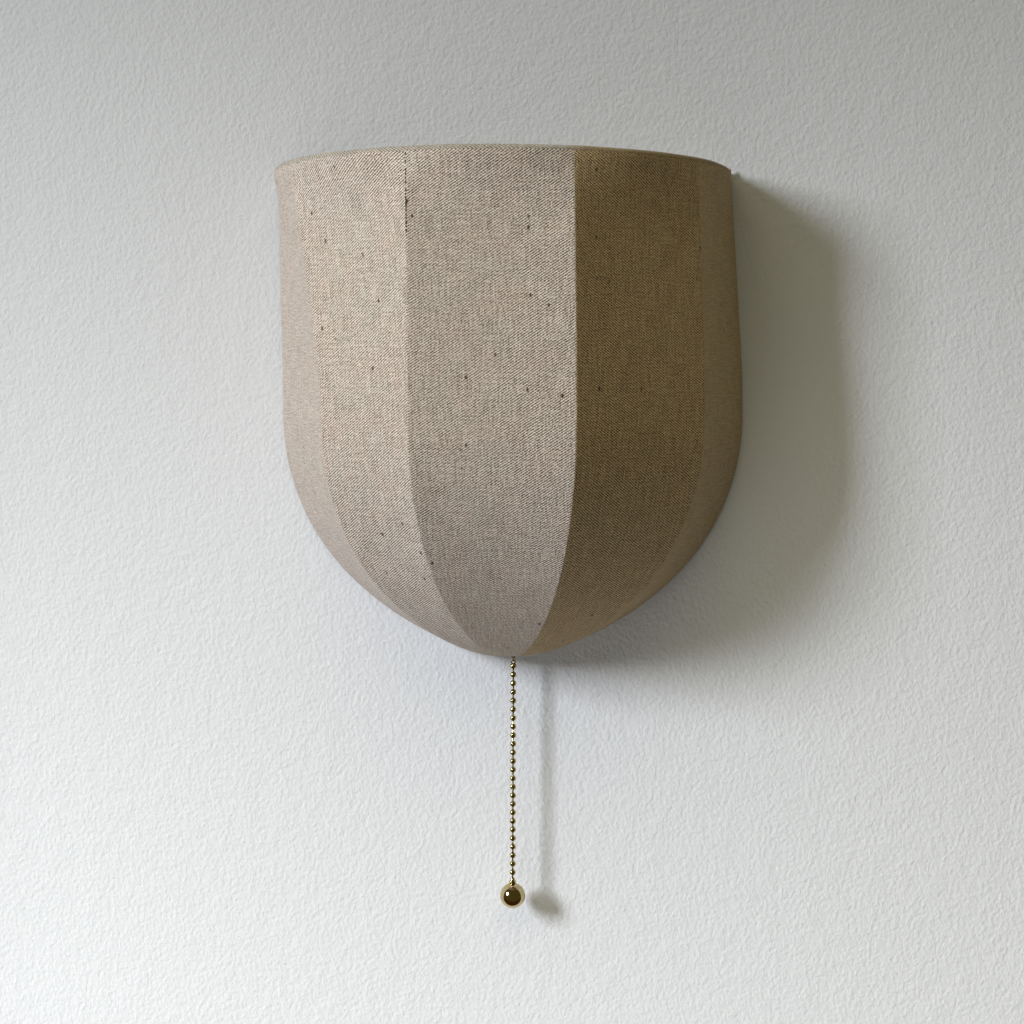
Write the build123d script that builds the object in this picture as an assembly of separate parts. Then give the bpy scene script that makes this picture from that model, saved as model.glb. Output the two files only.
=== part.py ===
from build123d import *
import os
from math import atan2, cos, radians, sin, sqrt

os.makedirs("parts", exist_ok=True)

# Half-round fabric wall light with a pull chain.
#
# Millimetres. The origin is the centre of the wall plate's two screw holes, on the wall.
# +X points right along the wall, +Z up, and the room lies towards -Y.
# Angles round the shade are counted from its left wall edge, through the room, to its
# right wall edge.

# ---------------------------------------------------------------- driving dimensions

# shade skin
SHADE_TOP_Z = 130.0  # top of the rolled upper edge
SHADE_HEIGHT = 239.0  # from the lower roll's underside to the upper roll's top
SHADE_HALF_WIDTH = 115.0  # cloth surface at the widest level
SHADE_TOP_R = 112.4  # cloth surface at the upper ring
BULGE_HEIGHT = 118.4  # widest level above the lower roll's underside
FOOT_SLOPE = 16.5  # degrees above the horizontal where the cloth leaves the lower ring
SPLIT_SLOPE = 44.0  # slope at which the two arcs of the side profile meet
BEND_TANGENT = 18.0  # half the height over which a rib bends into its straight top part
RIB_ANGLES = (0.0, 45.0, 71.0, 108.7, 144.9, 180.0)  # at and below the widest level
RIB_TOP_ANGLES = (0.0, 33.5, 72.3, 110.6, 147.2, 180.0)  # at the upper ring
TOP_SHIFT_X = -4.4  # of the upper ring, since the hand-made shade leans to the left
ROUND_FADE = 36.0  # height over which the round top edge turns into flat gores
FOOT_FADE = 12.0  # the same at the lower ring
SADDLE = 1.1  # how far a gore draws in between two curved ribs
CLOTH_T = 0.7
WALL_GAP = 0.3  # between the cloth's back edge and the wall

# wire frame
RING_WIRE_R = 1.5
RIB_WIRE_R = 1.25
BAR_SET_IN = 0.1  # of the rings' bars in front of the side ribs' line
FOOT_RING_R = 17.0
TOP_HEM_TURN = 205.0  # degrees that the cloth goes round the upper ring
FOOT_HEM_TURN = 190.0  # the same round the lower ring
FOOT_LIP_RISE = 0.3  # of the lower hem's edge above the point where it leaves the ring
RING_GAP = 0.08  # between a ring and the cloth turned round it
RIB_GAP = 0.15  # between a rib and the cloth over it or turned round it
FIT_GAP = 0.02  # between pieces that are fitted into each other

# shade hanging
STRAP_T = 1.5
STRAP_GAP = 0.3  # behind and in front of the strap
STUD_X = 32.0
STUD_Z = 66.0
STUD_R = 2.0
STUD_HEAD_R = 4.0
STUD_HEAD_T = 1.8
SLOT_GAP = 0.3  # radial, between a stud and its slot
HANG_GAP = 0.05  # under the top of the slot
KEYHOLE_GAP = 0.6  # radial, between a stud's head and the round hole
STRAP_MARGIN = 4.0
LIFT_TRAVEL = 9.0

# wall plate
PLATE_T = 1.5
PLATE_HALF_W = 46.0
PLATE_BOTTOM_Z = -47.0
PLATE_MARGIN = 10.0  # above the studs
WALL_SCREW_SPACING = 60.0
WALL_SCREW_HOLE_R = 2.25
CABLE_Z = 8.0
CABLE_HOLE_R = 6.5
GROMMET_BORE_R = 4.0
GROMMET_LENGTH = 5.0
GROMMET_FLANGE_R = 8.5
GROMMET_FLANGE_T = 1.2
EAR_LENGTH = 11.0
EAR_HEIGHT = 16.0

# canopy
CANOPY_HALF_W = 45.0
CANOPY_HALF_H = 46.0
CANOPY_DEPTH = 32.5
CANOPY_T = 1.2
CANOPY_CORNER_R = 8.0
CANOPY_SCREW_R = 2.0
CANOPY_SCREW_HEAD_R = 3.6
CANOPY_SCREW_HEAD_T = 2.0
CANOPY_SCREW_LENGTH = 9.0
SCREW_GAP = 0.05  # radial, round any screw
EAR_GAP = 0.3  # between an ear and the canopy's side

# terminal block
BLOCK_LENGTH = 34.0
BLOCK_DEPTH = 11.0
BLOCK_HEIGHT = 16.0
BLOCK_Z = 28.0
POLE_SPACING = 10.0
POLE_SCREW_R = 1.6
POLE_SCREW_LENGTH = 5.0
POLE_SCREW_RISE = 4.5  # of each screw above and below the block's middle
EARTH_X = 24.0
EARTH_Z = 12.0
EARTH_SCREW_R = 1.9
EARTH_HEAD_R = 3.6
EARTH_HEAD_T = 2.6

# pull switch
CHAIN_X = 2.5
CHAIN_DEPTH = 13.4  # of the chain's line in front of the wall
SWITCH_W = 24.0
SWITCH_D = 16.0
SWITCH_H = 27.0
SWITCH_T = 1.5
NIPPLE_R = 4.9
NIPPLE_BORE_R = 2.6
NIPPLE_LENGTH = 12.2
THREAD_GAP = 0.05
NUT_WIDTH = 14.0  # across the flats
NUT_T = 3.0
BELL_R = 6.4
BELL_LENGTH = 11.0
BELL_MOUTH_R = 4.6
PULL_TRAVEL = 6.0
STEM_R = 1.5
STEM_GAP = 0.08
STEM_DROP = 9.0  # of the stem's end below the switch's floor
FLANGE_W = 13.0
FLANGE_D = 8.0
FLANGE_T = 2.5
SPRING_LENGTH = 10.0
SPRING_WIRE_R = 0.4
SPRING_R = 2.7
SPRING_TURNS = 4
ROTOR_R = 4.5
ROTOR_TOOTH = 1.1
ROTOR_TEETH = 6
RATCHET_T = 3.0
DRUM_R = 3.0
DRUM_LENGTH = 8.6
ROTOR_OFFSET_X = -1.0
ROTOR_RISE = 5.8  # of the rotor's axis above the plunger's flange
ROTOR_PIN_R = 1.0
PIN_GAP = 0.03
FINGER_GAP = 0.4
FINGER_T = 1.5
FINGER_H = 8.5
BRIDGE_T = 0.5
BRIDGE_LENGTH = 5.0
BRIDGE_TURN = 240.0
CONTACT_GAP = 0.15
CONTACT_T = 0.4
CONTACT_W = 5.0
CONTACT_BELOW_AXIS = 3.5
TAB_RISE = 6.5  # of the contact tabs above the switch's lid

# pull chain
BEAD_R = 1.6
BEAD_PITCH = 4.37
BEAD_COUNT = 25
FIRST_BEAD_DROP = 5.6  # of the first free bead under the lower roll
LINK_WIRE_R = 0.45
LOOP_WIRE_R = 0.35
LOOP_R = 0.95
LOOP_RISE = 0.6  # of a loop's centre beyond the bead that it stands on
JUMP_RING_R = 1.3
LOOP_GAP = 0.05
END_CAP_LENGTH = 4.4
END_CAP_TOP_R = 1.5
END_CAP_R = 2.3
BALL_R = 6.35
BALL_SEAT = 0.4  # depth of the end cap's seat in the ball

# lamp arm and lampholder
LAMP_DEPTH = 62.0  # of the lamp's axis in front of the wall
ARM_Z = -28.0
ARM_R = 5.0
ARM_BORE_R = 3.7
ARM_BEND_R = 14.0
ARM_NUT_GAP = 0.5  # between the end of the arm's bend and the nut under the lampholder
ARM_INSIDE = 4.5  # of the arm's end behind the canopy's front
HOLDER_BASE_R = 12.0
HOLDER_BASE_H = 13.0
HOLDER_FLOOR_T = 6.0
BARREL_R = 13.6
BARREL_T = 1.5
BARREL_LIP_T = 1.5
BARREL_H = 32.0
BARREL_OVERLAP = 4.0  # of the barrel over the base
INSULATOR_H = 8.0
SLEEVE_R = 7.6
SLEEVE_T = 0.45
CONTACT_STRIP = (10.0, 4.0, 0.5)
CONTACT_BUMP_R = 2.0
CONTACT_BUMP_H = 0.4

# lamp
LAMP_CAP_R = 6.9
LAMP_CAP_H = 16.0
LAMP_CAP_T = 0.4
LAMP_INSULATOR_R = 5.4
LAMP_INSULATOR_H = 1.0
LAMP_TIP_R = 2.3
LAMP_TIP_H = 1.1
GLASS_R = 22.5
GLASS_T = 0.9
GLASS_NECK_H = 4.0
GLASS_RISE = 33.0  # of the globe's centre above the top of the neck
GLASS_JOIN = 50.0  # degrees below the globe's equator where the neck's curve meets it
LAMP_STEM_R = 3.2
LAMP_STEM_H = 18.0
FILAMENT_COUNT = 4
FILAMENT_R = 0.9
FILAMENT_LENGTH = 28.0
FILAMENT_CIRCLE_R = 7.0
SUPPORT_WIRE_R = 0.4

# leads
LEAD_R = 1.1
LEAD_BEND_R = 3.5
LEAD_SIDE_X = 1.6  # of each lead beside the arm's axis

# ---------------------------------------------------------------- places that follow

ROLL_INNER_R = RING_WIRE_R + RING_GAP
ROLL_R = ROLL_INNER_R + CLOTH_T
AXIS_Y = -(WALL_GAP + CLOTH_T)
SIDE_Y = AXIS_Y - RIB_WIRE_R
BAR_Y = SIDE_Y - BAR_SET_IN
TOP_RING_R = SHADE_TOP_R - ROLL_R
TOP_RING_Z = SHADE_TOP_Z - ROLL_R
FOOT_ROLL_Z = SHADE_TOP_Z - SHADE_HEIGHT
FOOT_RING_Z = FOOT_ROLL_Z + ROLL_R
BULGE_Z = FOOT_ROLL_Z + BULGE_HEIGHT
UPPER_RISE = TOP_RING_Z - BULGE_Z
FOOT_A = radians(FOOT_SLOPE)
SPLIT_A = radians(SPLIT_SLOPE)
FOOT_R = FOOT_RING_R + ROLL_R * sin(FOOT_A)
FOOT_Z = FOOT_RING_Z - ROLL_R * cos(FOOT_A)
LAST_RIB = len(RIB_ANGLES) - 1

# The side profile is a lower arc from the foot to the split and an upper arc from there
# to the widest level. Their radii follow from the run and the rise that they span.
RUN = SHADE_HALF_WIDTH - FOOT_R
RISE = BULGE_Z - FOOT_Z
RUN_LOW = sin(SPLIT_A) - sin(FOOT_A)
RUN_UP = 1 - sin(SPLIT_A)
RISE_LOW = cos(FOOT_A) - cos(SPLIT_A)
RISE_UP = cos(SPLIT_A)
SPAN = RUN_LOW * RISE_UP - RUN_UP * RISE_LOW
LOW_ARC_R = (RUN * RISE_UP - RISE * RUN_UP) / SPAN
UP_ARC_R = (RISE * RUN_LOW - RUN * RISE_LOW) / SPAN
LOW_CENTRE_R = FOOT_R - LOW_ARC_R * sin(FOOT_A)
LOW_CENTRE_Z = FOOT_Z + LOW_ARC_R * cos(FOOT_A)
UP_CENTRE_R = SHADE_HALF_WIDTH - UP_ARC_R

PLATE_TOP_Z = STUD_Z + PLATE_MARGIN
STRAP_BACK_Y = -(PLATE_T + STRAP_GAP)
STRAP_FRONT_Y = STRAP_BACK_Y - STRAP_T
STUD_HEAD_Y = STRAP_FRONT_Y - STRAP_GAP
SLOT_R = STUD_R + SLOT_GAP
SLOT_Z = STUD_Z + STUD_R + HANG_GAP - SLOT_R
KEYHOLE_R = STUD_HEAD_R + KEYHOLE_GAP
KEYHOLE_Z = SLOT_Z - LIFT_TRAVEL
STRAP_TOP_Z = SLOT_Z + SLOT_R + STRAP_MARGIN
STRAP_BOTTOM_Z = KEYHOLE_Z - KEYHOLE_R - STRAP_MARGIN

CANOPY_FRONT_Y = -(PLATE_T + CANOPY_DEPTH)
CANOPY_INNER_FRONT_Y = CANOPY_FRONT_Y + CANOPY_T
CANOPY_FLOOR_Z = -CANOPY_HALF_H + CANOPY_T
EAR_X = CANOPY_HALF_W - CANOPY_T - EAR_GAP
EAR_SCREW_Y = -(PLATE_T + 0.6 * EAR_LENGTH)

CHAIN_Y = -CHAIN_DEPTH
SWITCH_FLOOR_Z = CANOPY_FLOOR_Z + SWITCH_T
SWITCH_TOP_Z = CANOPY_FLOOR_Z + SWITCH_H
LID_TOP_Z = SWITCH_TOP_Z + SWITCH_T
NIPPLE_END_Z = CANOPY_FLOOR_Z - NIPPLE_LENGTH
NUT_TOP_Z = -CANOPY_HALF_H
BELL_TOP_Z = NUT_TOP_Z - NUT_T
BELL_END_Z = BELL_TOP_Z - BELL_LENGTH
FLANGE_Z = SWITCH_FLOOR_Z + SPRING_LENGTH
FLANGE_TOP_Z = FLANGE_Z + FLANGE_T
STEM_END_Z = CANOPY_FLOOR_Z - STEM_DROP
ROTOR_X = CHAIN_X + ROTOR_OFFSET_X
ROTOR_Z = FLANGE_TOP_Z + ROTOR_RISE
ROTOR_BACK_Y = CHAIN_Y + SWITCH_D / 2 - SWITCH_T - CONTACT_T
DRUM_BACK_Y = ROTOR_BACK_Y - RATCHET_T
CONTACT_X = DRUM_R + FIT_GAP + BRIDGE_T + CONTACT_GAP + CONTACT_T / 2
CONTACT_Y = DRUM_BACK_Y - DRUM_LENGTH / 2
TAB_TOP_Z = LID_TOP_Z + TAB_RISE

FIRST_BEAD_Z = FOOT_ROLL_Z - FIRST_BEAD_DROP
LOWER_LOOP_Z = FIRST_BEAD_Z + BEAD_R + LOOP_RISE
LINK_STEP = LOOP_WIRE_R * 2 + LOOP_GAP
SIDE_PIVOT_Z = LOWER_LOOP_Z + LOOP_R - LINK_STEP
JUMP_RING_Z = SIDE_PIVOT_Z + JUMP_RING_R
FRONT_PIVOT_Z = JUMP_RING_Z + JUMP_RING_R - LINK_STEP
UPPER_LOOP_Z = FRONT_PIVOT_Z + LOOP_R
LOWEST_UPPER_BEAD_Z = UPPER_LOOP_Z + LOOP_RISE + BEAD_R
UPPER_BEAD_COUNT = int((STEM_END_Z - BEAD_R - LOWEST_UPPER_BEAD_Z) / BEAD_PITCH) + 1
LAST_BEAD_Z = FIRST_BEAD_Z - (BEAD_COUNT - 1) * BEAD_PITCH
END_CAP_TOP_Z = LAST_BEAD_Z - BEAD_R
END_CAP_BOTTOM_Z = END_CAP_TOP_Z - END_CAP_LENGTH
BALL_Z = END_CAP_BOTTOM_Z + BALL_SEAT - BALL_R

LAMP_Y = -LAMP_DEPTH
ARM_START_Y = CANOPY_INNER_FRONT_Y + ARM_INSIDE
HOLDER_NUT_Z = ARM_Z + ARM_BEND_R + ARM_NUT_GAP
HOLDER_Z = HOLDER_NUT_Z + NUT_T
ARM_END_Z = HOLDER_Z + HOLDER_FLOOR_T
HOLDER_BASE_TOP_Z = HOLDER_Z + HOLDER_BASE_H
BARREL_BOTTOM_Z = HOLDER_BASE_TOP_Z - BARREL_OVERLAP
BARREL_TOP_Z = BARREL_BOTTOM_Z + BARREL_H
SLEEVE_BOTTOM_Z = HOLDER_BASE_TOP_Z + INSULATOR_H
SLEEVE_TOP_Z = BARREL_TOP_Z - BARREL_LIP_T
CONTACT_TOP_Z = SLEEVE_BOTTOM_Z + CONTACT_STRIP[2] + CONTACT_BUMP_H
LAMP_TIP_Z = CONTACT_TOP_Z + FIT_GAP
LAMP_INSULATOR_Z = LAMP_TIP_Z + LAMP_TIP_H
LAMP_CAP_Z = LAMP_INSULATOR_Z + LAMP_INSULATOR_H
LAMP_CAP_TOP_Z = LAMP_CAP_Z + LAMP_CAP_H
GLASS_NECK_Z = LAMP_CAP_TOP_Z + GLASS_NECK_H
GLASS_Z = GLASS_NECK_Z + GLASS_RISE
FILAMENT_Z = LAMP_CAP_TOP_Z + LAMP_STEM_H + SUPPORT_WIRE_R


# ---------------------------------------------------------------- helpers


def save(name, *solids):
    """Write one sub-part, which may be a group of separate solids."""
    shape = solids[0] if len(solids) == 1 else Compound(children=[Part() + solid for solid in solids])
    export_step(shape, f"parts/{name}.step")


def largest(shape):
    """The largest solid of a cut shape."""
    return max(shape.solids(), key=lambda solid: solid.volume)


def slab(x0, x1, y0, y1, z0, z1):
    """A block between two corners."""
    middle = ((x0 + x1) / 2, (y0 + y1) / 2, (z0 + z1) / 2)
    return Pos(*middle) * Box(abs(x1 - x0), abs(y1 - y0), abs(z1 - z0))


def rod(start, end, r):
    """A round rod from one point to another."""
    start, end = Vector(*start), Vector(*end)
    plane = Plane(origin=start, z_dir=end - start)
    return extrude(plane * Circle(r), amount=(end - start).length)


def upright(x, y, z0, z1, r):
    """A vertical round rod."""
    return rod((x, y, z0), (x, y, z1), r)


def turned(points, x=0.0, y=0.0):
    """A solid of revolution about a vertical axis, from its half section (radius, z)."""
    section = make_face(Polyline(*[(r, 0, z) for r, z in points], close=True))
    return Pos(x, y, 0) * revolve(section, axis=Axis.Z)


def hex_nut(place, bore_r):
    """A hexagon nut that stands on the given plane."""
    blank = extrude(place * RegularPolygon(NUT_WIDTH / 2, 6, major_radius=False), amount=NUT_T)
    return blank - extrude(place * Circle(bore_r), amount=NUT_T)


def piped(path, r):
    """A round wire along a path."""
    start = Plane(origin=path @ 0, z_dir=path % 0)
    return sweep(start * Circle(r), path=path)


# ---------------------------------------------------------------- the shade's surface


def around(angle, r, z):
    """The point at an angle round the shade's upright axis."""
    turn = radians(angle)
    return Vector(-r * cos(turn), AXIS_Y - r * sin(turn), z)


def profile_point(slope, inset):
    """Radius and height on the side profile where it has the given slope."""
    turn = radians(slope)
    if slope < SPLIT_SLOPE:
        r = LOW_ARC_R - inset
        return LOW_CENTRE_R + r * sin(turn), LOW_CENTRE_Z - r * cos(turn)
    r = UP_ARC_R - inset
    return UP_CENTRE_R + r * sin(turn), BULGE_Z - r * cos(turn)


def radius_at(z, inset=0.0):
    """Radius of the side profile at a height, inset along its normal."""
    if z >= BULGE_Z:
        return SHADE_HALF_WIDTH - inset
    low_r = LOW_ARC_R - inset
    up_r = UP_ARC_R - inset
    if z < BULGE_Z - up_r * cos(SPLIT_A):
        return LOW_CENTRE_R + sqrt(low_r**2 - (LOW_CENTRE_Z - z) ** 2)
    return UP_CENTRE_R + sqrt(up_r**2 - (BULGE_Z - z) ** 2)


def lean_share(z):
    """Share of a rib's move towards its place on the upper ring, at a height."""
    height = z - BULGE_Z
    if height < 2 * BEND_TANGENT:
        return height**2 / (4 * BEND_TANGENT * (UPPER_RISE - BEND_TANGENT))
    return (height - BEND_TANGENT) / (UPPER_RISE - BEND_TANGENT)


def rib_point(rib, z, inset=0.0):
    """The point at a height on the line of a rib, inset from the cloth's surface."""
    if z <= BULGE_Z:
        return around(RIB_ANGLES[rib], radius_at(z, inset), z)
    low = around(RIB_ANGLES[rib], SHADE_HALF_WIDTH - inset, z)
    high = around(RIB_TOP_ANGLES[rib], SHADE_TOP_R - inset, z) + Vector(TOP_SHIFT_X, 0, 0)
    return low + (high - low) * lean_share(z)


def axis_at(z):
    """The middle of the shade's level section along the wall, at a height."""
    share = lean_share(z) if z > BULGE_Z else 0
    return Vector(TOP_SHIFT_X * share, AXIS_Y, z)


def is_side(rib):
    """Whether a rib stands against the wall."""
    return rib in (0, LAST_RIB)


def rib_inset(rib):
    """Depth of a rib's line behind the corner of the cloth, clear of the flat cloth beside it."""
    gores = [gore for gore in (rib - 1, rib) if 0 <= gore < LAST_RIB]
    spans = [angles[gore + 1] - angles[gore] for angles in (RIB_ANGLES, RIB_TOP_ANGLES) for gore in gores]
    return (CLOTH_T + RIB_WIRE_R) / cos(radians(max(spans) / 2)) + RIB_GAP


def gore_corners(rib, z):
    """The outer and inner corner of the cloth at a rib and a height."""
    outer = rib_point(rib, z)
    if is_side(rib):
        outer = Vector(outer.X, SIDE_Y, z)
    wall = radius_at(z) - radius_at(z, CLOTH_T)
    axis = axis_at(z)
    inward = Vector(axis.X, outer.Y if is_side(rib) else axis.Y, z) - outer
    return outer, outer + inward.normalized() * wall


def gore_bow(left, right, z):
    """How far the cloth bows out beyond the straight line between two ribs."""
    half = (right - left).length / 2
    r = (left - axis_at(z)).length
    round_bow = r - sqrt(r**2 - half**2)
    top_share = max(0.0, 1 - max(0.0, ROUND_Z - z) / ROUND_FADE) ** 2
    foot_share = max(0.0, 1 - (z - GORE_END_Z) / FOOT_FADE) ** 2
    down = max(0.0, (BULGE_Z - z) / (BULGE_Z - GORE_END_Z))
    drawn_in = SADDLE * sin(radians(180 * min(1.0, down))) ** 2
    return round_bow * (top_share + foot_share) - drawn_in


def gore_section(gore, z):
    """The level section of one gore."""
    left_out, left_in = gore_corners(gore, z)
    right_out, right_in = gore_corners(gore + 1, z)
    bow = 2 * gore_bow(left_out, right_out, z)
    chord = (right_out - left_out).normalized()
    out = Vector(chord.Y, -chord.X, 0)
    outer = Bezier(left_out, (left_out + right_out) * 0.5 + out * bow, right_out)
    inner = Bezier(right_in, (left_in + right_in) * 0.5 + out * bow, left_in)
    edges = [outer, Line(right_out, right_in), inner, Line(left_in, left_out)]
    return Face(Wire(edges))


# The gores end a little above the point where the cloth's inside leaves the lower ring.
GORE_END_Z = FOOT_RING_Z - ROLL_INNER_R * cos(FOOT_A) + FOOT_LIP_RISE
ROUND_Z = TOP_RING_Z - ROLL_INNER_R
UPPER_LEVELS = [TOP_RING_Z] + [ROUND_Z - ROUND_FADE * share for share in (0.0, 0.15, 0.35, 0.6, 1.0)]
BEND_LEVELS = [BULGE_Z + 2 * BEND_TANGENT, BULGE_Z]
DOME_LEVELS = [profile_point(slope, 0)[1] for slope in range(82, int(FOOT_SLOPE) + 4, -8)]
GORE_LEVELS = UPPER_LEVELS + BEND_LEVELS + DOME_LEVELS + [GORE_END_Z]


def rib_path(rib, inset):
    """The centre line of a rib, from the lower ring to the upper one."""
    angle, top_angle = RIB_ANGLES[rib], RIB_TOP_ANGLES[rib]
    shift = Vector(0, SIDE_Y - AXIS_Y, 0) if is_side(rib) else Vector(0, 0, 0)

    def at(slope, arc_slope):
        """A point of the profile, taken from the arc that holds the second slope."""
        r, z = profile_point(slope, inset)
        if slope == SPLIT_SLOPE and arc_slope < SPLIT_SLOPE:
            r = LOW_CENTRE_R + (LOW_ARC_R - inset) * sin(SPLIT_A)
            z = LOW_CENTRE_Z - (LOW_ARC_R - inset) * cos(SPLIT_A)
        return around(angle, r, z) + shift

    low_middle = (FOOT_SLOPE + SPLIT_SLOPE) / 2
    up_middle = (SPLIT_SLOPE + 90) / 2
    bulge = around(angle, SHADE_HALF_WIDTH - inset, BULGE_Z) + shift
    corner = bulge + Vector(0, 0, BEND_TANGENT)
    top = around(top_angle, SHADE_TOP_R - inset, TOP_RING_Z) + shift + Vector(TOP_SHIFT_X, 0, 0)
    bend_end = corner + (top - corner) * (BEND_TANGENT / (UPPER_RISE - BEND_TANGENT))
    split = at(SPLIT_SLOPE, SPLIT_SLOPE)
    edges = [
        ThreePointArc(at(FOOT_SLOPE, FOOT_SLOPE), at(low_middle, low_middle), split),
        ThreePointArc(split, at(up_middle, up_middle), bulge),
        Bezier(bulge, corner, bend_end),
        Line(bend_end, top),
    ]
    return Wire(edges)


# ---------------------------------------------------------------- wire frame


def half_ring(section):
    """A half turn of a section about the shade's axis, through the room."""
    return Pos(0, AXIS_Y, 0) * Rot(0, 0, 180) * revolve(section, axis=Axis.Z, revolution_arc=180)


def ring_bar(r, z, gap=0.0):
    """The straight bar that closes a half ring along the wall, or the room that it needs."""
    return rod((-r, BAR_Y, z), (r, BAR_Y, z), RIB_WIRE_R + gap)


def ring_wire(r, z):
    """A half ring of round wire with its bar."""
    arc = half_ring(Plane.XZ * Pos(r, z) * Circle(RING_WIRE_R))
    return largest(arc + ring_bar(r, z))


top_ring = Pos(TOP_SHIFT_X, 0, 0) * ring_wire(TOP_RING_R, TOP_RING_Z)
foot_ring = ring_wire(FOOT_RING_R, FOOT_RING_Z)
save("top_ring", top_ring)
save("foot_ring", foot_ring)

ribs = []
for rib in range(LAST_RIB + 1):
    ribs.append(piped(rib_path(rib, rib_inset(rib)), RIB_WIRE_R))
    save(f"rib_{rib + 1}", largest(ribs[rib] - top_ring - foot_ring))


# ---------------------------------------------------------------- hanging strap


def keyhole(x):
    """The cutter of one keyhole: a slot with a round hole under it."""
    back, front = STRAP_BACK_Y + 1, STRAP_FRONT_Y - 1
    slot_top = rod((x, back, SLOT_Z), (x, front, SLOT_Z), SLOT_R)
    entry = rod((x, back, KEYHOLE_Z), (x, front, KEYHOLE_Z), KEYHOLE_R)
    return slot_top + entry + slab(x - SLOT_R, x + SLOT_R, front, back, KEYHOLE_Z, SLOT_Z)


# The strap ends on the middle lines of the side ribs, at the strap's middle height.
strap_middle_z = (STRAP_BOTTOM_Z + STRAP_TOP_Z) / 2
strap_left, strap_right = (rib_point(rib, strap_middle_z, rib_inset(rib)).X for rib in (0, LAST_RIB))
strap = slab(strap_left, strap_right, STRAP_FRONT_Y, STRAP_BACK_Y, STRAP_BOTTOM_Z, STRAP_TOP_Z)
strap = strap - keyhole(-STUD_X) - keyhole(STUD_X) - ribs[0] - ribs[LAST_RIB]
save("shade_strap", largest(strap))

# ---------------------------------------------------------------- cloth


def roll_section(r, z, start, turn, lip=None):
    """The section of cloth turned round a ring, with a lip out to the gores."""
    inner_r, outer_r = ROLL_INNER_R, ROLL_R

    def on(radius, angle):
        """A point at an angle round the wire."""
        return Vector(r + radius * cos(radians(angle)), 0, z + radius * sin(radians(angle)))

    end, middle = start + turn, start + turn / 2
    edges = [
        ThreePointArc(on(outer_r, start), on(outer_r, middle), on(outer_r, end)),
        Line(on(outer_r, end), on(inner_r, end)),
        ThreePointArc(on(inner_r, end), on(inner_r, middle), on(inner_r, start)),
    ]
    if lip is None:
        edges.append(Line(on(inner_r, start), on(outer_r, start)))
    else:
        inner_lip, outer_lip = (Vector(lip_r, 0, GORE_END_Z) for lip_r in lip)
        edges.append(Line(on(inner_r, start), inner_lip))
        edges.append(Line(inner_lip, outer_lip))
        edges.append(Line(outer_lip, on(outer_r, start)))
    return Face(Wire(edges))


top_hem = half_ring(roll_section(TOP_RING_R, TOP_RING_Z, 0, TOP_HEM_TURN))
top_hem = Pos(TOP_SHIFT_X, 0, 0) * (top_hem - ring_bar(TOP_RING_R, TOP_RING_Z, RING_GAP))
lip_ends = (radius_at(GORE_END_Z, CLOTH_T), radius_at(GORE_END_Z))
foot_section = roll_section(FOOT_RING_R, FOOT_RING_Z, FOOT_SLOPE - 90, -FOOT_HEM_TURN, lip_ends)
foot_hem = half_ring(foot_section) - ring_bar(FOOT_RING_R, FOOT_RING_Z, RING_GAP)
save("top_hem", largest(top_hem))
save("foot_hem", largest(foot_hem))


def side_hem(rib):
    """The cloth turned round the wall side of a rib that stands against the wall."""
    path = rib_path(rib, rib_inset(rib))
    inner_r, outer_r = RIB_WIRE_R + RIB_GAP, RIB_WIRE_R + CLOTH_T
    edges = [
        ThreePointArc((0, -outer_r), (outer_r, 0), (0, outer_r)),
        Line((0, outer_r), (0, inner_r)),
        ThreePointArc((0, inner_r), (inner_r, 0), (0, -inner_r)),
        Line((0, -inner_r), (0, -outer_r)),
    ]
    place = Plane(origin=path @ 0, x_dir=(0, 1, 0), z_dir=path % 0)
    strip = sweep(place * Face(Wire(edges)), path=path)
    reach = SHADE_HALF_WIDTH * 2
    over_top = slab(-reach, reach, -reach, reach, TOP_RING_Z - ROLL_R - FIT_GAP, SHADE_TOP_Z)
    return largest(strip - foot_hem - foot_ring - strap - over_top)


save("side_hem_left", side_hem(0))
save("side_hem_right", side_hem(LAST_RIB))

for gore in range(LAST_RIB):
    sections = [gore_section(gore, z) for z in GORE_LEVELS]
    save(f"gore_{gore + 1}", Solid.make_loft([section.outer_wire() for section in sections]))

# ---------------------------------------------------------------- wall plate

plate = slab(-PLATE_HALF_W, PLATE_HALF_W, -PLATE_T, 0, PLATE_BOTTOM_Z, PLATE_TOP_Z)
plate = fillet(plate.edges().filter_by(Axis.Y), CANOPY_CORNER_R)
for side in (-1, 1):
    ear_edge = side * (EAR_X - PLATE_T)
    ear = slab(side * EAR_X, ear_edge, -PLATE_T - EAR_LENGTH, -PLATE_T / 2, -EAR_HEIGHT / 2, EAR_HEIGHT / 2)
    plate = plate + ear
    reach = (side * (EAR_X + 1), EAR_SCREW_Y, 0), (side * (EAR_X - PLATE_T - 1), EAR_SCREW_Y, 0)
    plate = plate - rod(*reach, CANOPY_SCREW_R + SCREW_GAP)


def through_plate(x, z, r):
    """The cutter of a round hole through the wall plate."""
    return rod((x, 1, z), (x, -PLATE_T - 1, z), r)


for side in (-1, 1):
    plate = plate - through_plate(side * WALL_SCREW_SPACING / 2, 0, WALL_SCREW_HOLE_R)
    plate = plate - through_plate(side * STUD_X, STUD_Z, STUD_R + FIT_GAP)
plate = plate - through_plate(0, CABLE_Z, CABLE_HOLE_R)
plate = plate - through_plate(EARTH_X, EARTH_Z, EARTH_SCREW_R + SCREW_GAP)
save("wall_plate", largest(plate))

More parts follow.
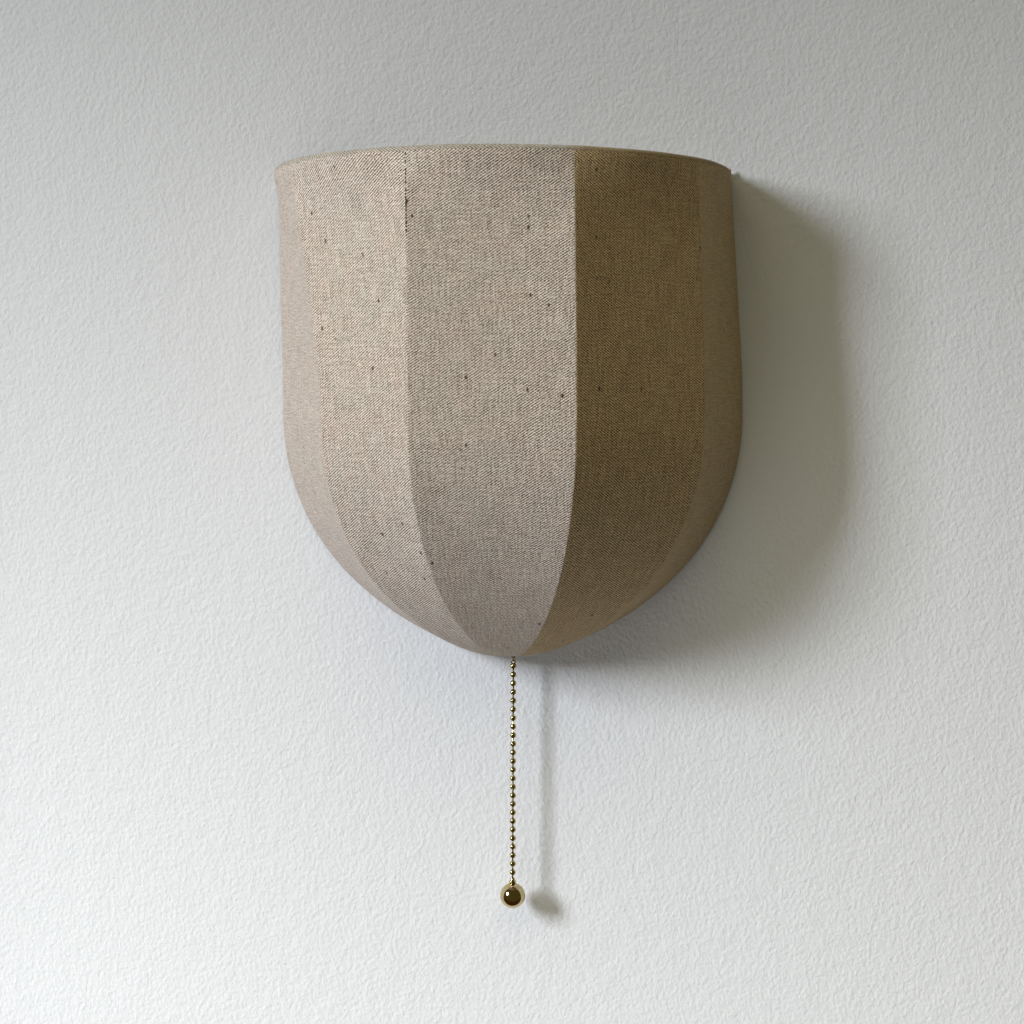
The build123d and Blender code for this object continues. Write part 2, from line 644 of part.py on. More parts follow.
grommet = rod((0, 0, CABLE_Z), (0, -GROMMET_LENGTH, CABLE_Z), CABLE_HOLE_R - FIT_GAP)
flange_end = -PLATE_T - GROMMET_FLANGE_T
grommet = grommet + rod((0, -PLATE_T, CABLE_Z), (0, flange_end, CABLE_Z), GROMMET_FLANGE_R)
grommet = grommet - rod((0, 1, CABLE_Z), (0, -GROMMET_LENGTH - 1, CABLE_Z), GROMMET_BORE_R)
save("cable_grommet", grommet)


def stud(x):
    """A shouldered stud, riveted into the wall plate."""
    shank = rod((x, 0, STUD_Z), (x, STUD_HEAD_Y, STUD_Z), STUD_R)
    head = rod((x, STUD_HEAD_Y, STUD_Z), (x, STUD_HEAD_Y - STUD_HEAD_T, STUD_Z), STUD_HEAD_R)
    return shank + head


save("hanger_studs", stud(-STUD_X), stud(STUD_X))

# ---------------------------------------------------------------- canopy


def canopy_block(inset, back_y, front_y):
    """A block with the canopy's rounded outline, inset all round."""
    outline = RectangleRounded(
        2 * (CANOPY_HALF_W - inset), 2 * (CANOPY_HALF_H - inset), CANOPY_CORNER_R - inset
    )
    place = Plane(origin=(0, back_y, 0), x_dir=(1, 0, 0), z_dir=(0, -1, 0))
    return extrude(place * outline, amount=back_y - front_y)


canopy = canopy_block(0, -PLATE_T, CANOPY_FRONT_Y)
canopy = canopy - canopy_block(CANOPY_T, -PLATE_T, CANOPY_INNER_FRONT_Y)
canopy = canopy - rod((0, CANOPY_FRONT_Y - 1, ARM_Z), (0, ARM_START_Y, ARM_Z), ARM_R + THREAD_GAP)
nipple_hole_r = NIPPLE_R + THREAD_GAP
canopy = canopy - upright(CHAIN_X, CHAIN_Y, CANOPY_FLOOR_Z + 1, -CANOPY_HALF_H - 1, nipple_hole_r)
screws = []
for side in (-1, 1):
    wall_x, head_x = side * CANOPY_HALF_W, side * (CANOPY_HALF_W + CANOPY_SCREW_HEAD_T)
    tip_x = side * (CANOPY_HALF_W - CANOPY_SCREW_LENGTH)
    shank = rod((wall_x, EAR_SCREW_Y, 0), (tip_x, EAR_SCREW_Y, 0), CANOPY_SCREW_R)
    head = rod((wall_x, EAR_SCREW_Y, 0), (head_x, EAR_SCREW_Y, 0), CANOPY_SCREW_HEAD_R)
    drive = slab(head_x, head_x - side, EAR_SCREW_Y - 3, EAR_SCREW_Y + 3, -0.5, 0.5)
    screws.append(shank + head - drive)
    hole_start = (side * (CANOPY_HALF_W + 1), EAR_SCREW_Y, 0)
    canopy = canopy - rod(hole_start, (tip_x, EAR_SCREW_Y, 0), CANOPY_SCREW_R + SCREW_GAP)
save("canopy", largest(canopy))
save("canopy_screws", *screws)

# ---------------------------------------------------------------- terminals

block_front_y = -PLATE_T - BLOCK_DEPTH
block_middle_y = -PLATE_T - BLOCK_DEPTH / 2
block_bottom_z, block_top_z = BLOCK_Z - BLOCK_HEIGHT / 2, BLOCK_Z + BLOCK_HEIGHT / 2
block = slab(-BLOCK_LENGTH / 2, BLOCK_LENGTH / 2, block_front_y, -PLATE_T, block_bottom_z, block_top_z)
block = chamfer(block.faces().sort_by(Axis.Y)[0].edges(), 1.2)
pole_screws = []
for pole in (-1, 0, 1):
    for row in (-1, 1):
        x, z = pole * POLE_SPACING, BLOCK_Z + row * POLE_SCREW_RISE
        inner_y = block_front_y + POLE_SCREW_LENGTH
        block = block - rod((x, block_front_y - 1, z), (x, inner_y, z), POLE_SCREW_R + SCREW_GAP)
        head_y = block_front_y + 0.5
        screw = rod((x, head_y, z), (x, inner_y, z), POLE_SCREW_R)
        screw = screw - slab(x - 2, x + 2, head_y - 1, head_y + 0.6, z - 0.35, z + 0.35)
        pole_screws.append(screw)
save("terminal_block", largest(block))
save("terminal_screws", *pole_screws)

earth_head_y = -PLATE_T - EARTH_HEAD_T
earth_screw = rod((EARTH_X, 0, EARTH_Z), (EARTH_X, -PLATE_T, EARTH_Z), EARTH_SCREW_R)
earth_screw = earth_screw + rod((EARTH_X, -PLATE_T, EARTH_Z), (EARTH_X, earth_head_y, EARTH_Z), EARTH_HEAD_R)
slot = slab(EARTH_X - 4, EARTH_X + 4, earth_head_y - 1, earth_head_y + 0.8, EARTH_Z - 0.5, EARTH_Z + 0.5)
save("earth_screw", earth_screw - slot)

# ---------------------------------------------------------------- pull switch

left_x, right_x = CHAIN_X - SWITCH_W / 2, CHAIN_X + SWITCH_W / 2
back_y, front_y = CHAIN_Y + SWITCH_D / 2, CHAIN_Y - SWITCH_D / 2
housing = slab(left_x, right_x, front_y, back_y, CANOPY_FLOOR_Z, SWITCH_TOP_Z)
cavity = slab(
    left_x + SWITCH_T, right_x - SWITCH_T, front_y + SWITCH_T, back_y - SWITCH_T, SWITCH_FLOOR_Z, SWITCH_TOP_Z
)
housing = housing - cavity
housing = housing - upright(CHAIN_X, CHAIN_Y, CANOPY_FLOOR_Z - 1, SWITCH_FLOOR_Z + 1, STEM_R + STEM_GAP)
pin_start, pin_end = (ROTOR_X, back_y, ROTOR_Z), (ROTOR_X, front_y, ROTOR_Z)
housing = housing - rod(pin_start, pin_end, ROTOR_PIN_R + FIT_GAP)
save("switch_housing", housing)
save("rotor_pin", rod(pin_start, pin_end, ROTOR_PIN_R))

lid = slab(left_x, right_x, front_y, back_y, SWITCH_TOP_Z, LID_TOP_Z)
contacts = []
contact_bottom_z = ROTOR_Z - CONTACT_BELOW_AXIS
for side in (-1, 1):
    x = ROTOR_X + side * CONTACT_X
    x0, x1 = x - CONTACT_T / 2, x + CONTACT_T / 2
    y0, y1 = CONTACT_Y - CONTACT_W / 2, CONTACT_Y + CONTACT_W / 2
    contacts.append(slab(x0, x1, y0, y1, contact_bottom_z, TAB_TOP_Z))
    gap = FIT_GAP
    lid = lid - slab(x0 - gap, x1 + gap, y0 - gap, y1 + gap, SWITCH_TOP_Z, LID_TOP_Z)
save("switch_lid", lid)
save("switch_contacts", *contacts)

nipple = upright(CHAIN_X, CHAIN_Y, CANOPY_FLOOR_Z, NIPPLE_END_Z, NIPPLE_R)
nipple = nipple - upright(CHAIN_X, CHAIN_Y, CANOPY_FLOOR_Z + 1, NIPPLE_END_Z - 1, NIPPLE_BORE_R)
save("switch_nipple", nipple)
nut_plane = Plane(origin=(CHAIN_X, CHAIN_Y, BELL_TOP_Z), z_dir=(0, 0, 1))
save("switch_nut", hex_nut(nut_plane, NIPPLE_R + THREAD_GAP))
bell = turned(
    [
        (NIPPLE_R + THREAD_GAP, BELL_TOP_Z),
        (BELL_R - 0.8, BELL_TOP_Z),
        (BELL_R, BELL_TOP_Z - 0.8),
        (BELL_R, BELL_END_Z + 1.0),
        (BELL_R - 1.0, BELL_END_Z),
        (BELL_MOUTH_R, BELL_END_Z),
        (NIPPLE_BORE_R, NIPPLE_END_Z),
        (NIPPLE_R + THREAD_GAP, NIPPLE_END_Z),
    ],
    CHAIN_X,
    CHAIN_Y,
)
save("bell_mouth", bell)

plunger = upright(CHAIN_X, CHAIN_Y, STEM_END_Z, FLANGE_Z, STEM_R)
half_w, half_d = FLANGE_W / 2, FLANGE_D / 2
plunger = plunger + slab(
    CHAIN_X - half_w, CHAIN_X + half_w, CHAIN_Y - half_d, CHAIN_Y + half_d, FLANGE_Z, FLANGE_TOP_Z
)
finger_x = ROTOR_X + ROTOR_R + FINGER_GAP
plunger = plunger + slab(
    finger_x,
    finger_x + FINGER_T,
    ROTOR_BACK_Y - FIT_GAP,
    DRUM_BACK_Y + FIT_GAP,
    FLANGE_TOP_Z - FLANGE_T / 2,
    FLANGE_TOP_Z + FINGER_H,
)
save("switch_plunger", largest(plunger))

spring_base_z = SWITCH_FLOOR_Z + SPRING_WIRE_R + FIT_GAP
spring_rise = SPRING_LENGTH - 2 * (SPRING_WIRE_R + FIT_GAP)
coil = Pos(CHAIN_X, CHAIN_Y, spring_base_z) * Helix(spring_rise / SPRING_TURNS, spring_rise, SPRING_R)
coil_section = Plane(origin=coil @ 0, z_dir=coil % 0) * Circle(SPRING_WIRE_R)
save("return_spring", sweep(coil_section, path=coil, is_frenet=True))

# The ratchet wheel is a plain disc with one sloping notch for each tooth.
ratchet_plane = Plane(origin=(ROTOR_X, ROTOR_BACK_Y, ROTOR_Z), x_dir=(1, 0, 0), z_dir=(0, -1, 0))
tooth_points = []
for tooth in range(ROTOR_TEETH):
    start = radians(360 / ROTOR_TEETH * tooth)
    root_r = ROTOR_R - ROTOR_TOOTH
    tooth_points.append((ROTOR_R * cos(start), ROTOR_R * sin(start)))
    tooth_points.append((root_r * cos(start + 0.15), root_r * sin(start + 0.15)))
rotor = extrude(ratchet_plane * make_face(Polyline(*tooth_points, close=True)), amount=RATCHET_T)
rotor = rotor + extrude(ratchet_plane * Circle(DRUM_R), amount=RATCHET_T + DRUM_LENGTH)
rotor = rotor - extrude(ratchet_plane * Circle(ROTOR_PIN_R + PIN_GAP), amount=RATCHET_T + DRUM_LENGTH)
save("switch_rotor", rotor)

bridge_plane = Plane(
    origin=(ROTOR_X, CONTACT_Y + BRIDGE_LENGTH / 2, ROTOR_Z), x_dir=(1, 0, 0), z_dir=(0, -1, 0)
)
bridge_gap = Rot(0, 0, -90) * SlotArc(
    CenterArc((0, 0), DRUM_R + BRIDGE_T, -(360 - BRIDGE_TURN) / 2, 360 - BRIDGE_TURN), BRIDGE_T * 4
)
bridge = Circle(DRUM_R + FIT_GAP + BRIDGE_T) - Circle(DRUM_R + FIT_GAP) - bridge_gap
save("contact_bridge", extrude(bridge_plane * bridge, amount=BRIDGE_LENGTH))

# ---------------------------------------------------------------- pull chain


def loop(z, normal):
    """A closed wire loop of the chain's own wire."""
    place = Plane(origin=(CHAIN_X, CHAIN_Y, z), z_dir=normal)
    return place * Torus(LOOP_R, LOOP_WIRE_R)


def beads(top_z, count):
    """A run of hollow beads on their link wire, as one piece."""
    run = upright(CHAIN_X, CHAIN_Y, top_z, top_z - (count - 1) * BEAD_PITCH, LINK_WIRE_R)
    for bead in range(count):
        run = run + Pos(CHAIN_X, CHAIN_Y, top_z - bead * BEAD_PITCH) * Sphere(BEAD_R)
    return run


top_bead_z = LOWEST_UPPER_BEAD_Z + (UPPER_BEAD_COUNT - 1) * BEAD_PITCH
upper_chain = beads(top_bead_z, UPPER_BEAD_COUNT)
upper_chain = upper_chain + upright(CHAIN_X, CHAIN_Y, top_bead_z, STEM_END_Z, LINK_WIRE_R)
upper_chain = upper_chain + loop(UPPER_LOOP_Z, (0, 1, 0))
save("upper_chain", upper_chain)

jump_ring = Plane(origin=(CHAIN_X, CHAIN_Y, JUMP_RING_Z), z_dir=(1, 0, 0)) * Torus(JUMP_RING_R, LOOP_WIRE_R)
save("jump_ring", jump_ring)

pull_chain = beads(FIRST_BEAD_Z, BEAD_COUNT)
pull_chain = pull_chain + loop(LOWER_LOOP_Z, (0, 1, 0))
save("pull_chain", pull_chain)

end_cap = turned(
    [
        (0, END_CAP_TOP_Z),
        (END_CAP_TOP_R, END_CAP_TOP_Z),
        (END_CAP_TOP_R, END_CAP_TOP_Z - 1.4),
        (END_CAP_R, END_CAP_TOP_Z - 2.2),
        (END_CAP_R, END_CAP_BOTTOM_Z),
        (0, END_CAP_BOTTOM_Z),
    ],
    CHAIN_X,
    CHAIN_Y,
)
save("chain_end_cap", end_cap)
ball = Pos(CHAIN_X, CHAIN_Y, BALL_Z) * Sphere(BALL_R)
ball_seat = upright(CHAIN_X, CHAIN_Y, END_CAP_BOTTOM_Z, END_CAP_BOTTOM_Z + BALL_R, END_CAP_R)
save("pull_ball", ball - ball_seat)

# ---------------------------------------------------------------- lamp arm


def arm_path(side_x=0.0, start_y=ARM_START_Y, end_z=ARM_END_Z):
    """The line of the arm, or of a lead beside it."""
    bend_y, bend_z = LAMP_Y + ARM_BEND_R, ARM_Z + ARM_BEND_R
    reach = ARM_BEND_R * sin(radians(45))
    middle = (side_x, bend_y - reach, bend_z - reach)
    edges = [
        Line((side_x, start_y, ARM_Z), (side_x, bend_y, ARM_Z)),
        ThreePointArc((side_x, bend_y, ARM_Z), middle, (side_x, LAMP_Y, bend_z)),
        Line((side_x, LAMP_Y, bend_z), (side_x, LAMP_Y, end_z)),
    ]
    return Wire(edges)


save("lamp_arm", piped(arm_path(), ARM_R) - piped(arm_path(), ARM_BORE_R))
arm_nuts = [
    hex_nut(Plane(origin=(0, CANOPY_INNER_FRONT_Y, ARM_Z), z_dir=(0, 1, 0)), ARM_R + THREAD_GAP),
    hex_nut(Plane(origin=(0, CANOPY_FRONT_Y, ARM_Z), z_dir=(0, -1, 0)), ARM_R + THREAD_GAP),
    hex_nut(Plane(origin=(0, LAMP_Y, HOLDER_NUT_Z), z_dir=(0, 0, 1)), ARM_R + THREAD_GAP),
]
save("arm_nuts", *arm_nuts)

# ---------------------------------------------------------------- lampholder

base_cavity_r = HOLDER_BASE_R - BARREL_T
holder_base = turned(
    [
        (ARM_R + THREAD_GAP, HOLDER_Z),
        (HOLDER_BASE_R - 2, HOLDER_Z),
        (HOLDER_BASE_R, HOLDER_Z + 2),
        (HOLDER_BASE_R, HOLDER_BASE_TOP_Z),
        (base_cavity_r, HOLDER_BASE_TOP_Z),
        (base_cavity_r, ARM_END_Z),
        (ARM_R + THREAD_GAP, ARM_END_Z),
    ],
    0,
    LAMP_Y,
)
save("holder_base", holder_base)

barrel_inner_r = HOLDER_BASE_R + THREAD_GAP
barrel = turned(
    [
        (barrel_inner_r, BARREL_BOTTOM_Z),
        (BARREL_R, BARREL_BOTTOM_Z),
        (BARREL_R, BARREL_TOP_Z - 1.2),
        (BARREL_R - 1.2, BARREL_TOP_Z),
        (SLEEVE_R, BARREL_TOP_Z),
        (SLEEVE_R, SLEEVE_TOP_Z),
        (barrel_inner_r, SLEEVE_TOP_Z),
    ],
    0,
    LAMP_Y,
)
save("holder_barrel", barrel)

insulator = upright(0, LAMP_Y, HOLDER_BASE_TOP_Z, SLEEVE_BOTTOM_Z, HOLDER_BASE_R)
save("holder_insulator", insulator)
sleeve_inner_r = SLEEVE_R - SLEEVE_T
sleeve = upright(0, LAMP_Y, SLEEVE_BOTTOM_Z, SLEEVE_TOP_Z, SLEEVE_R)
sleeve = sleeve - upright(0, LAMP_Y, SLEEVE_BOTTOM_Z, SLEEVE_TOP_Z, sleeve_inner_r)
save("holder_sleeve", sleeve)
strip = Pos(0, LAMP_Y, SLEEVE_BOTTOM_Z + CONTACT_STRIP[2] / 2) * Box(*CONTACT_STRIP)
strip_top_z = SLEEVE_BOTTOM_Z + CONTACT_STRIP[2]
save("holder_contact", strip + upright(0, LAMP_Y, strip_top_z, CONTACT_TOP_Z, CONTACT_BUMP_R))

# ---------------------------------------------------------------- lamp

save("lamp_tip", upright(0, LAMP_Y, LAMP_TIP_Z, LAMP_INSULATOR_Z, LAMP_TIP_R))
save("lamp_cap_insulator", upright(0, LAMP_Y, LAMP_INSULATOR_Z, LAMP_CAP_Z, LAMP_INSULATOR_R))
cap_points = [(LAMP_INSULATOR_R, LAMP_CAP_Z), (LAMP_CAP_R - LAMP_CAP_T, LAMP_CAP_Z + 1)]
ridges = 5
ridge_step = (LAMP_CAP_H - 4) / (2 * ridges)
for step in range(2 * ridges):
    groove = LAMP_CAP_T if step % 2 == 0 else 0
    cap_points.append((LAMP_CAP_R - groove, LAMP_CAP_Z + 2 + step * ridge_step))
cap_points.append((LAMP_CAP_R, LAMP_CAP_TOP_Z))
cap_inner_r = LAMP_CAP_R - 2 * LAMP_CAP_T
cap_points.append((cap_inner_r, LAMP_CAP_TOP_Z))
cap_points.append((cap_inner_r, LAMP_CAP_Z + 1.5))
cap_points.append((LAMP_INSULATOR_R - LAMP_CAP_T, LAMP_CAP_Z + LAMP_CAP_T))
cap_points.append((0, LAMP_CAP_Z + LAMP_CAP_T))
cap_points.append((0, LAMP_CAP_Z))
save("lamp_cap", turned(cap_points, 0, LAMP_Y))


def glass_solid(inset):
    """The lamp's globe and neck, inset from its outer surface."""
    r = GLASS_R - inset
    join = radians(GLASS_JOIN)
    neck_r = LAMP_CAP_R - inset
    base_z = LAMP_CAP_TOP_Z + inset
    neck_top = Vector(neck_r, 0, GLASS_NECK_Z)
    join_point = Vector(r * cos(join), 0, GLASS_Z - r * sin(join))
    chord = join_point - neck_top
    lean = atan2(chord.X, chord.Z)
    bend_r = chord.length / (2 * sin(lean))
    middle = Vector(neck_r + bend_r * (1 - cos(lean)), 0, GLASS_NECK_Z + bend_r * sin(lean))
    edges = [
        Line((0, 0, base_z), (neck_r, 0, base_z)),
        Line((neck_r, 0, base_z), neck_top),
        ThreePointArc(neck_top, middle, join_point),
        ThreePointArc(join_point, (r, 0, GLASS_Z), (0, 0, GLASS_Z + r)),
        Line((0, 0, GLASS_Z + r), (0, 0, base_z)),
    ]
    return Pos(0, LAMP_Y, 0) * revolve(Face(Wire(edges)), axis=Axis.Z)


save("lamp_glass", glass_solid(0) - glass_solid(GLASS_T))
stem_base_z = LAMP_CAP_TOP_Z + GLASS_T
stem_top_z = LAMP_CAP_TOP_Z + LAMP_STEM_H
save("lamp_stem", upright(0, LAMP_Y, stem_base_z, stem_top_z, LAMP_STEM_R))

filaments = []
filament_top_z = FILAMENT_Z + SUPPORT_WIRE_R + FILAMENT_LENGTH
supports = upright(0, LAMP_Y, stem_top_z, filament_top_z + SUPPORT_WIRE_R, SUPPORT_WIRE_R)
for index in range(FILAMENT_COUNT):
    turn = radians(360 / FILAMENT_COUNT * index + 45)
    x, y = FILAMENT_CIRCLE_R * cos(turn), LAMP_Y + FILAMENT_CIRCLE_R * sin(turn)
    filaments.append(upright(x, y, FILAMENT_Z + SUPPORT_WIRE_R, filament_top_z, FILAMENT_R))
    for z in (FILAMENT_Z, filament_top_z + SUPPORT_WIRE_R):
        supports = supports + rod((0, LAMP_Y, z), (x, y, z), SUPPORT_WIRE_R)
save("lamp_filaments", *filaments)
save("filament_supports", supports)

# ---------------------------------------------------------------- leads


def lead(name, points, radii):
    """An insulated lead along a route with a bend at each inner point."""
    route = FilletPolyline(*points, radius=radii)
    print(name, "bend radii", radii, "length", round(route.length, 1))
    save(name, piped(route, LEAD_R))


pole_z = block_bottom_z
tab_y = CONTACT_Y
left_tab_x, right_tab_x = ROTOR_X - CONTACT_X, ROTOR_X + CONTACT_X
arm_lead_y = ARM_START_Y + LEAD_BEND_R
lead_bend_z = ARM_Z + ARM_BEND_R
lead_end_z = HOLDER_BASE_TOP_Z
above_tabs = TAB_TOP_Z + 6

lead(
    "lead_line",
    [
        (-POLE_SPACING, block_middle_y, pole_z),
        (-POLE_SPACING, block_middle_y, pole_z - 12),
        (left_tab_x, tab_y, above_tabs),
        (left_tab_x, tab_y, TAB_TOP_Z),
    ],
    [LEAD_BEND_R, LEAD_BEND_R],
)
lead(
    "lead_switched",
    [
        (right_tab_x, tab_y, TAB_TOP_Z),
        (right_tab_x, tab_y, above_tabs),
        (LEAD_SIDE_X, arm_lead_y, above_tabs - 2),
        (LEAD_SIDE_X, arm_lead_y, ARM_Z),
        (LEAD_SIDE_X, LAMP_Y, ARM_Z),
        (LEAD_SIDE_X, LAMP_Y, lead_end_z),
    ],
    [LEAD_BEND_R, LEAD_BEND_R, LEAD_BEND_R, ARM_BEND_R],
)
lead(
    "lead_neutral",
    [
        (0, block_middle_y, pole_z),
        (0, block_middle_y, pole_z - 5),
        (-LEAD_SIDE_X, arm_lead_y, pole_z - 12),
        (-LEAD_SIDE_X, arm_lead_y, ARM_Z),
        (-LEAD_SIDE_X, LAMP_Y, ARM_Z),
        (-LEAD_SIDE_X, LAMP_Y, lead_end_z),
    ],
    [LEAD_BEND_R, LEAD_BEND_R, LEAD_BEND_R, ARM_BEND_R],
)
lead(
    "lead_earth",
    [
        (POLE_SPACING, block_middle_y, pole_z),
        (POLE_SPACING, block_middle_y, pole_z - 4.5),
        (POLE_SPACING + 4, -PLATE_T - EARTH_HEAD_T / 2, EARTH_Z),
        (EARTH_X - EARTH_HEAD_R, -PLATE_T - EARTH_HEAD_T / 2, EARTH_Z),
    ],
    [2.5, 2.5],
)
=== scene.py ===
"""Looks of the half-round linen wall light with its pull chain.

Pieces are drawn in millimetres and brought to metres when they are finished. The origin is
on the wall, +X points right, +Z up, and the room lies towards -Y.
"""

import logging
from collections.abc import Callable
from dataclasses import dataclass
from enum import Enum
from math import acos, atan2, cos, hypot, pi, radians, sin, sqrt, tan

import bmesh
import bpy
from mathutils import Matrix, Vector, noise


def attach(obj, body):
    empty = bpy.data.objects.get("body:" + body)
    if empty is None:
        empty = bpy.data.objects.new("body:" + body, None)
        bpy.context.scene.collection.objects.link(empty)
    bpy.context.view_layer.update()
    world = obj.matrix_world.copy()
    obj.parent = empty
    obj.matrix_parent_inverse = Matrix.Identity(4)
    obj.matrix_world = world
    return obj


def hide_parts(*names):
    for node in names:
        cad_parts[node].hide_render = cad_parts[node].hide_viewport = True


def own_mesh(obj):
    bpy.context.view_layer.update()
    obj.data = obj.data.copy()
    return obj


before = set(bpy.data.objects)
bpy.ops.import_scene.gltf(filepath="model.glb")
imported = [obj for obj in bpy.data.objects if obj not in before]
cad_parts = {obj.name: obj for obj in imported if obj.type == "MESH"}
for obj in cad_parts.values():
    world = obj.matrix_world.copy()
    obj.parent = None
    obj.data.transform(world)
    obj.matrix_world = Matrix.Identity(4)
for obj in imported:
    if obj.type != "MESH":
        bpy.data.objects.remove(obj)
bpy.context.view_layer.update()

MM = 0.001
TOUCHING = 1e-4  # millimetres within which points are one
NOISE_RANGE = (0.3, 0.7)  # which a noise mostly keeps to
CLOTH_MAP = "cloth"
log = logging.getLogger("wall_light")

Triple = tuple[float, float, float]
Colour = Triple
Laid = tuple[float, float]
Material = bpy.types.Material
Shape = bmesh.types.BMesh
Socket = bpy.types.NodeSocket
Thing = bpy.types.Object
Vert = bmesh.types.BMVert

CHAIN_AXIS: Laid = (2.5, -13.4)  # where the chain and its switch stand, in millimetres


# ---------------------------------------------------------------- finishes


class Nodes:
    """The shading nodes of one material or world, laid down one after another."""

    def __init__(self, block: bpy.types.ID) -> None:
        """Start with the empty tree of a material or a world.

        Args:
            block: the material or world.
        """
        self.block = block
        block.use_nodes = True
        self.tree = block.node_tree
        self.tree.nodes.clear()

    def add(self, kind: str, sockets: dict | None = None, **settings: object) -> bpy.types.Node:
        """Add one node.

        Args:
            kind: the node's type, without the leading ShaderNode.
            sockets: values or sockets for its inputs, by name or number.
            settings: the node's own settings.

        Returns:
            The node.
        """
        node = self.tree.nodes.new("ShaderNode" + kind)
        for key, value in settings.items():
            setattr(node, key, value)
        for key, value in (sockets or {}).items():
            self.feed(node.inputs[key], value)
        return node

    def feed(self, socket: Socket, value: object) -> None:
        """Give an input a value, or link it to another node's output.

        Args:
            socket: the input.
            value: a number, a colour, a vector or an output socket.
        """
        if isinstance(value, Socket):
            self.tree.links.new(value, socket)
        elif isinstance(value, tuple) and socket.type == "RGBA" and len(value) == 3:
            socket.default_value = (*value, 1.0)
        else:
            socket.default_value = value

    def sum(
        self, operation: str, first: object, second: object = 0.0, third: float = 0.0
    ) -> Socket:
        """Work out one step of arithmetic: first and second, and where it adds one, third."""
        return self.add("Math", {0: first, 1: second, 2: third}, operation=operation).outputs[0]

    def mix(self, share: object, first: object, second: object) -> Socket:
        """Mix two colours, with a share of the second."""
        return self.add("Mix", {0: share, 6: first, 7: second}, data_type="RGBA").outputs[2]

    def split(self, vector: Socket) -> bpy.types.bpy_prop_collection:
        """The three parts of a vector or a colour."""
        return self.add("SeparateXYZ", {0: vector}).outputs

    def tinted(self, colour: object, *factors: Socket) -> Socket:
        """Multiply a colour's three channels.

        Args:
            colour: a colour or a socket.
            factors: a factor for each channel, or one for all.

        Returns:
            The new colour's socket.
        """
        channels = factors * 3 if len(factors) == 1 else factors
        each = self.add("CombineXYZ", dict(enumerate(channels))).outputs[0]
        return self.add("VectorMath", {0: colour, 1: each}, operation="MULTIPLY").outputs[0]

    def span(
        self, value: object, low: float, high: float, new_low: float = 0.0, new_high: float = 1.0
    ) -> Socket:
        """Carry the range from low to high to the new one, held inside it."""
        return self.add("MapRange", {0: value, 1: low, 2: high, 3: new_low, 4: new_high}).outputs[0]

    def swing(self, cloud: Socket) -> Socket:
        """Carry a noise to the range from -1 to 1."""
        return self.span(cloud, *NOISE_RANGE, -1.0, 1.0)

    def scaled(self, vector: object, scale: Triple, place: Triple = (0, 0, 0)) -> Socket:
        """Scale a set of coordinates by axis, then shift them."""
        return self.add("Mapping", {"Vector": vector, "Scale": scale, "Location": place}).outputs[0]

    def cloud(
        self, vector: object, scale: float, detail: float = 2.0, roughness: float = 0.5
    ) -> Socket:
        """Lay a noise over some coordinates, which is about 0.5 on average."""
        sockets = {"Vector": vector, "Scale": scale, "Detail": detail, "Roughness": roughness}
        return self.add("TexNoise", sockets).outputs[0]

    def bump(self, height: object, depth: float, strength: float = 1.0) -> Socket:
        """Raise the surface by a height, where 1 stands for a depth in metres."""
        sockets = {"Height": height, "Distance": depth, "Strength": strength}
        return self.add("Bump", sockets).outputs[0]

    def where(self) -> Socket:
        """The piece's own coordinates, in metres."""
        return self.add("TexCoord").outputs["Object"]

    def surface(self, **sockets: object) -> Material:
        """Close the material with a principled surface.

        Args:
            sockets: the surface's inputs, with underscores for the spaces in their names.

        Returns:
            The finished material.
        """
        named = {key.replace("_", " "): value for key, value in sockets.items()}
        shader = self.add("BsdfPrincipled", named)
        return self.close(shader)

    def close(self, shader: bpy.types.Node) -> Material:
        """Lead the last node to the output, and give back the finished material."""
        self.add("OutputMaterial", {0: shader.outputs[0]})
        return self.block


@dataclass(frozen=True)
class Finish:
    """A finish that several pieces can share."""

    label: str
    colour: Colour

    def material(self) -> Material:
        """The finish's material, made the first time that a piece asks for it."""
        made = bpy.data.materials.get(self.label)
        return made or self.lay(Nodes(bpy.data.materials.new(self.label)))

    def lay(self, nodes: Nodes) -> Material:
        """Lay down the finish's nodes in an empty tree, and close the material."""
        raise NotImplementedError


class Lean(Enum):
    """Which way the weave's diagonal lines run, seen from the room."""

    RISING = 1.0
    FALLING = -1.0


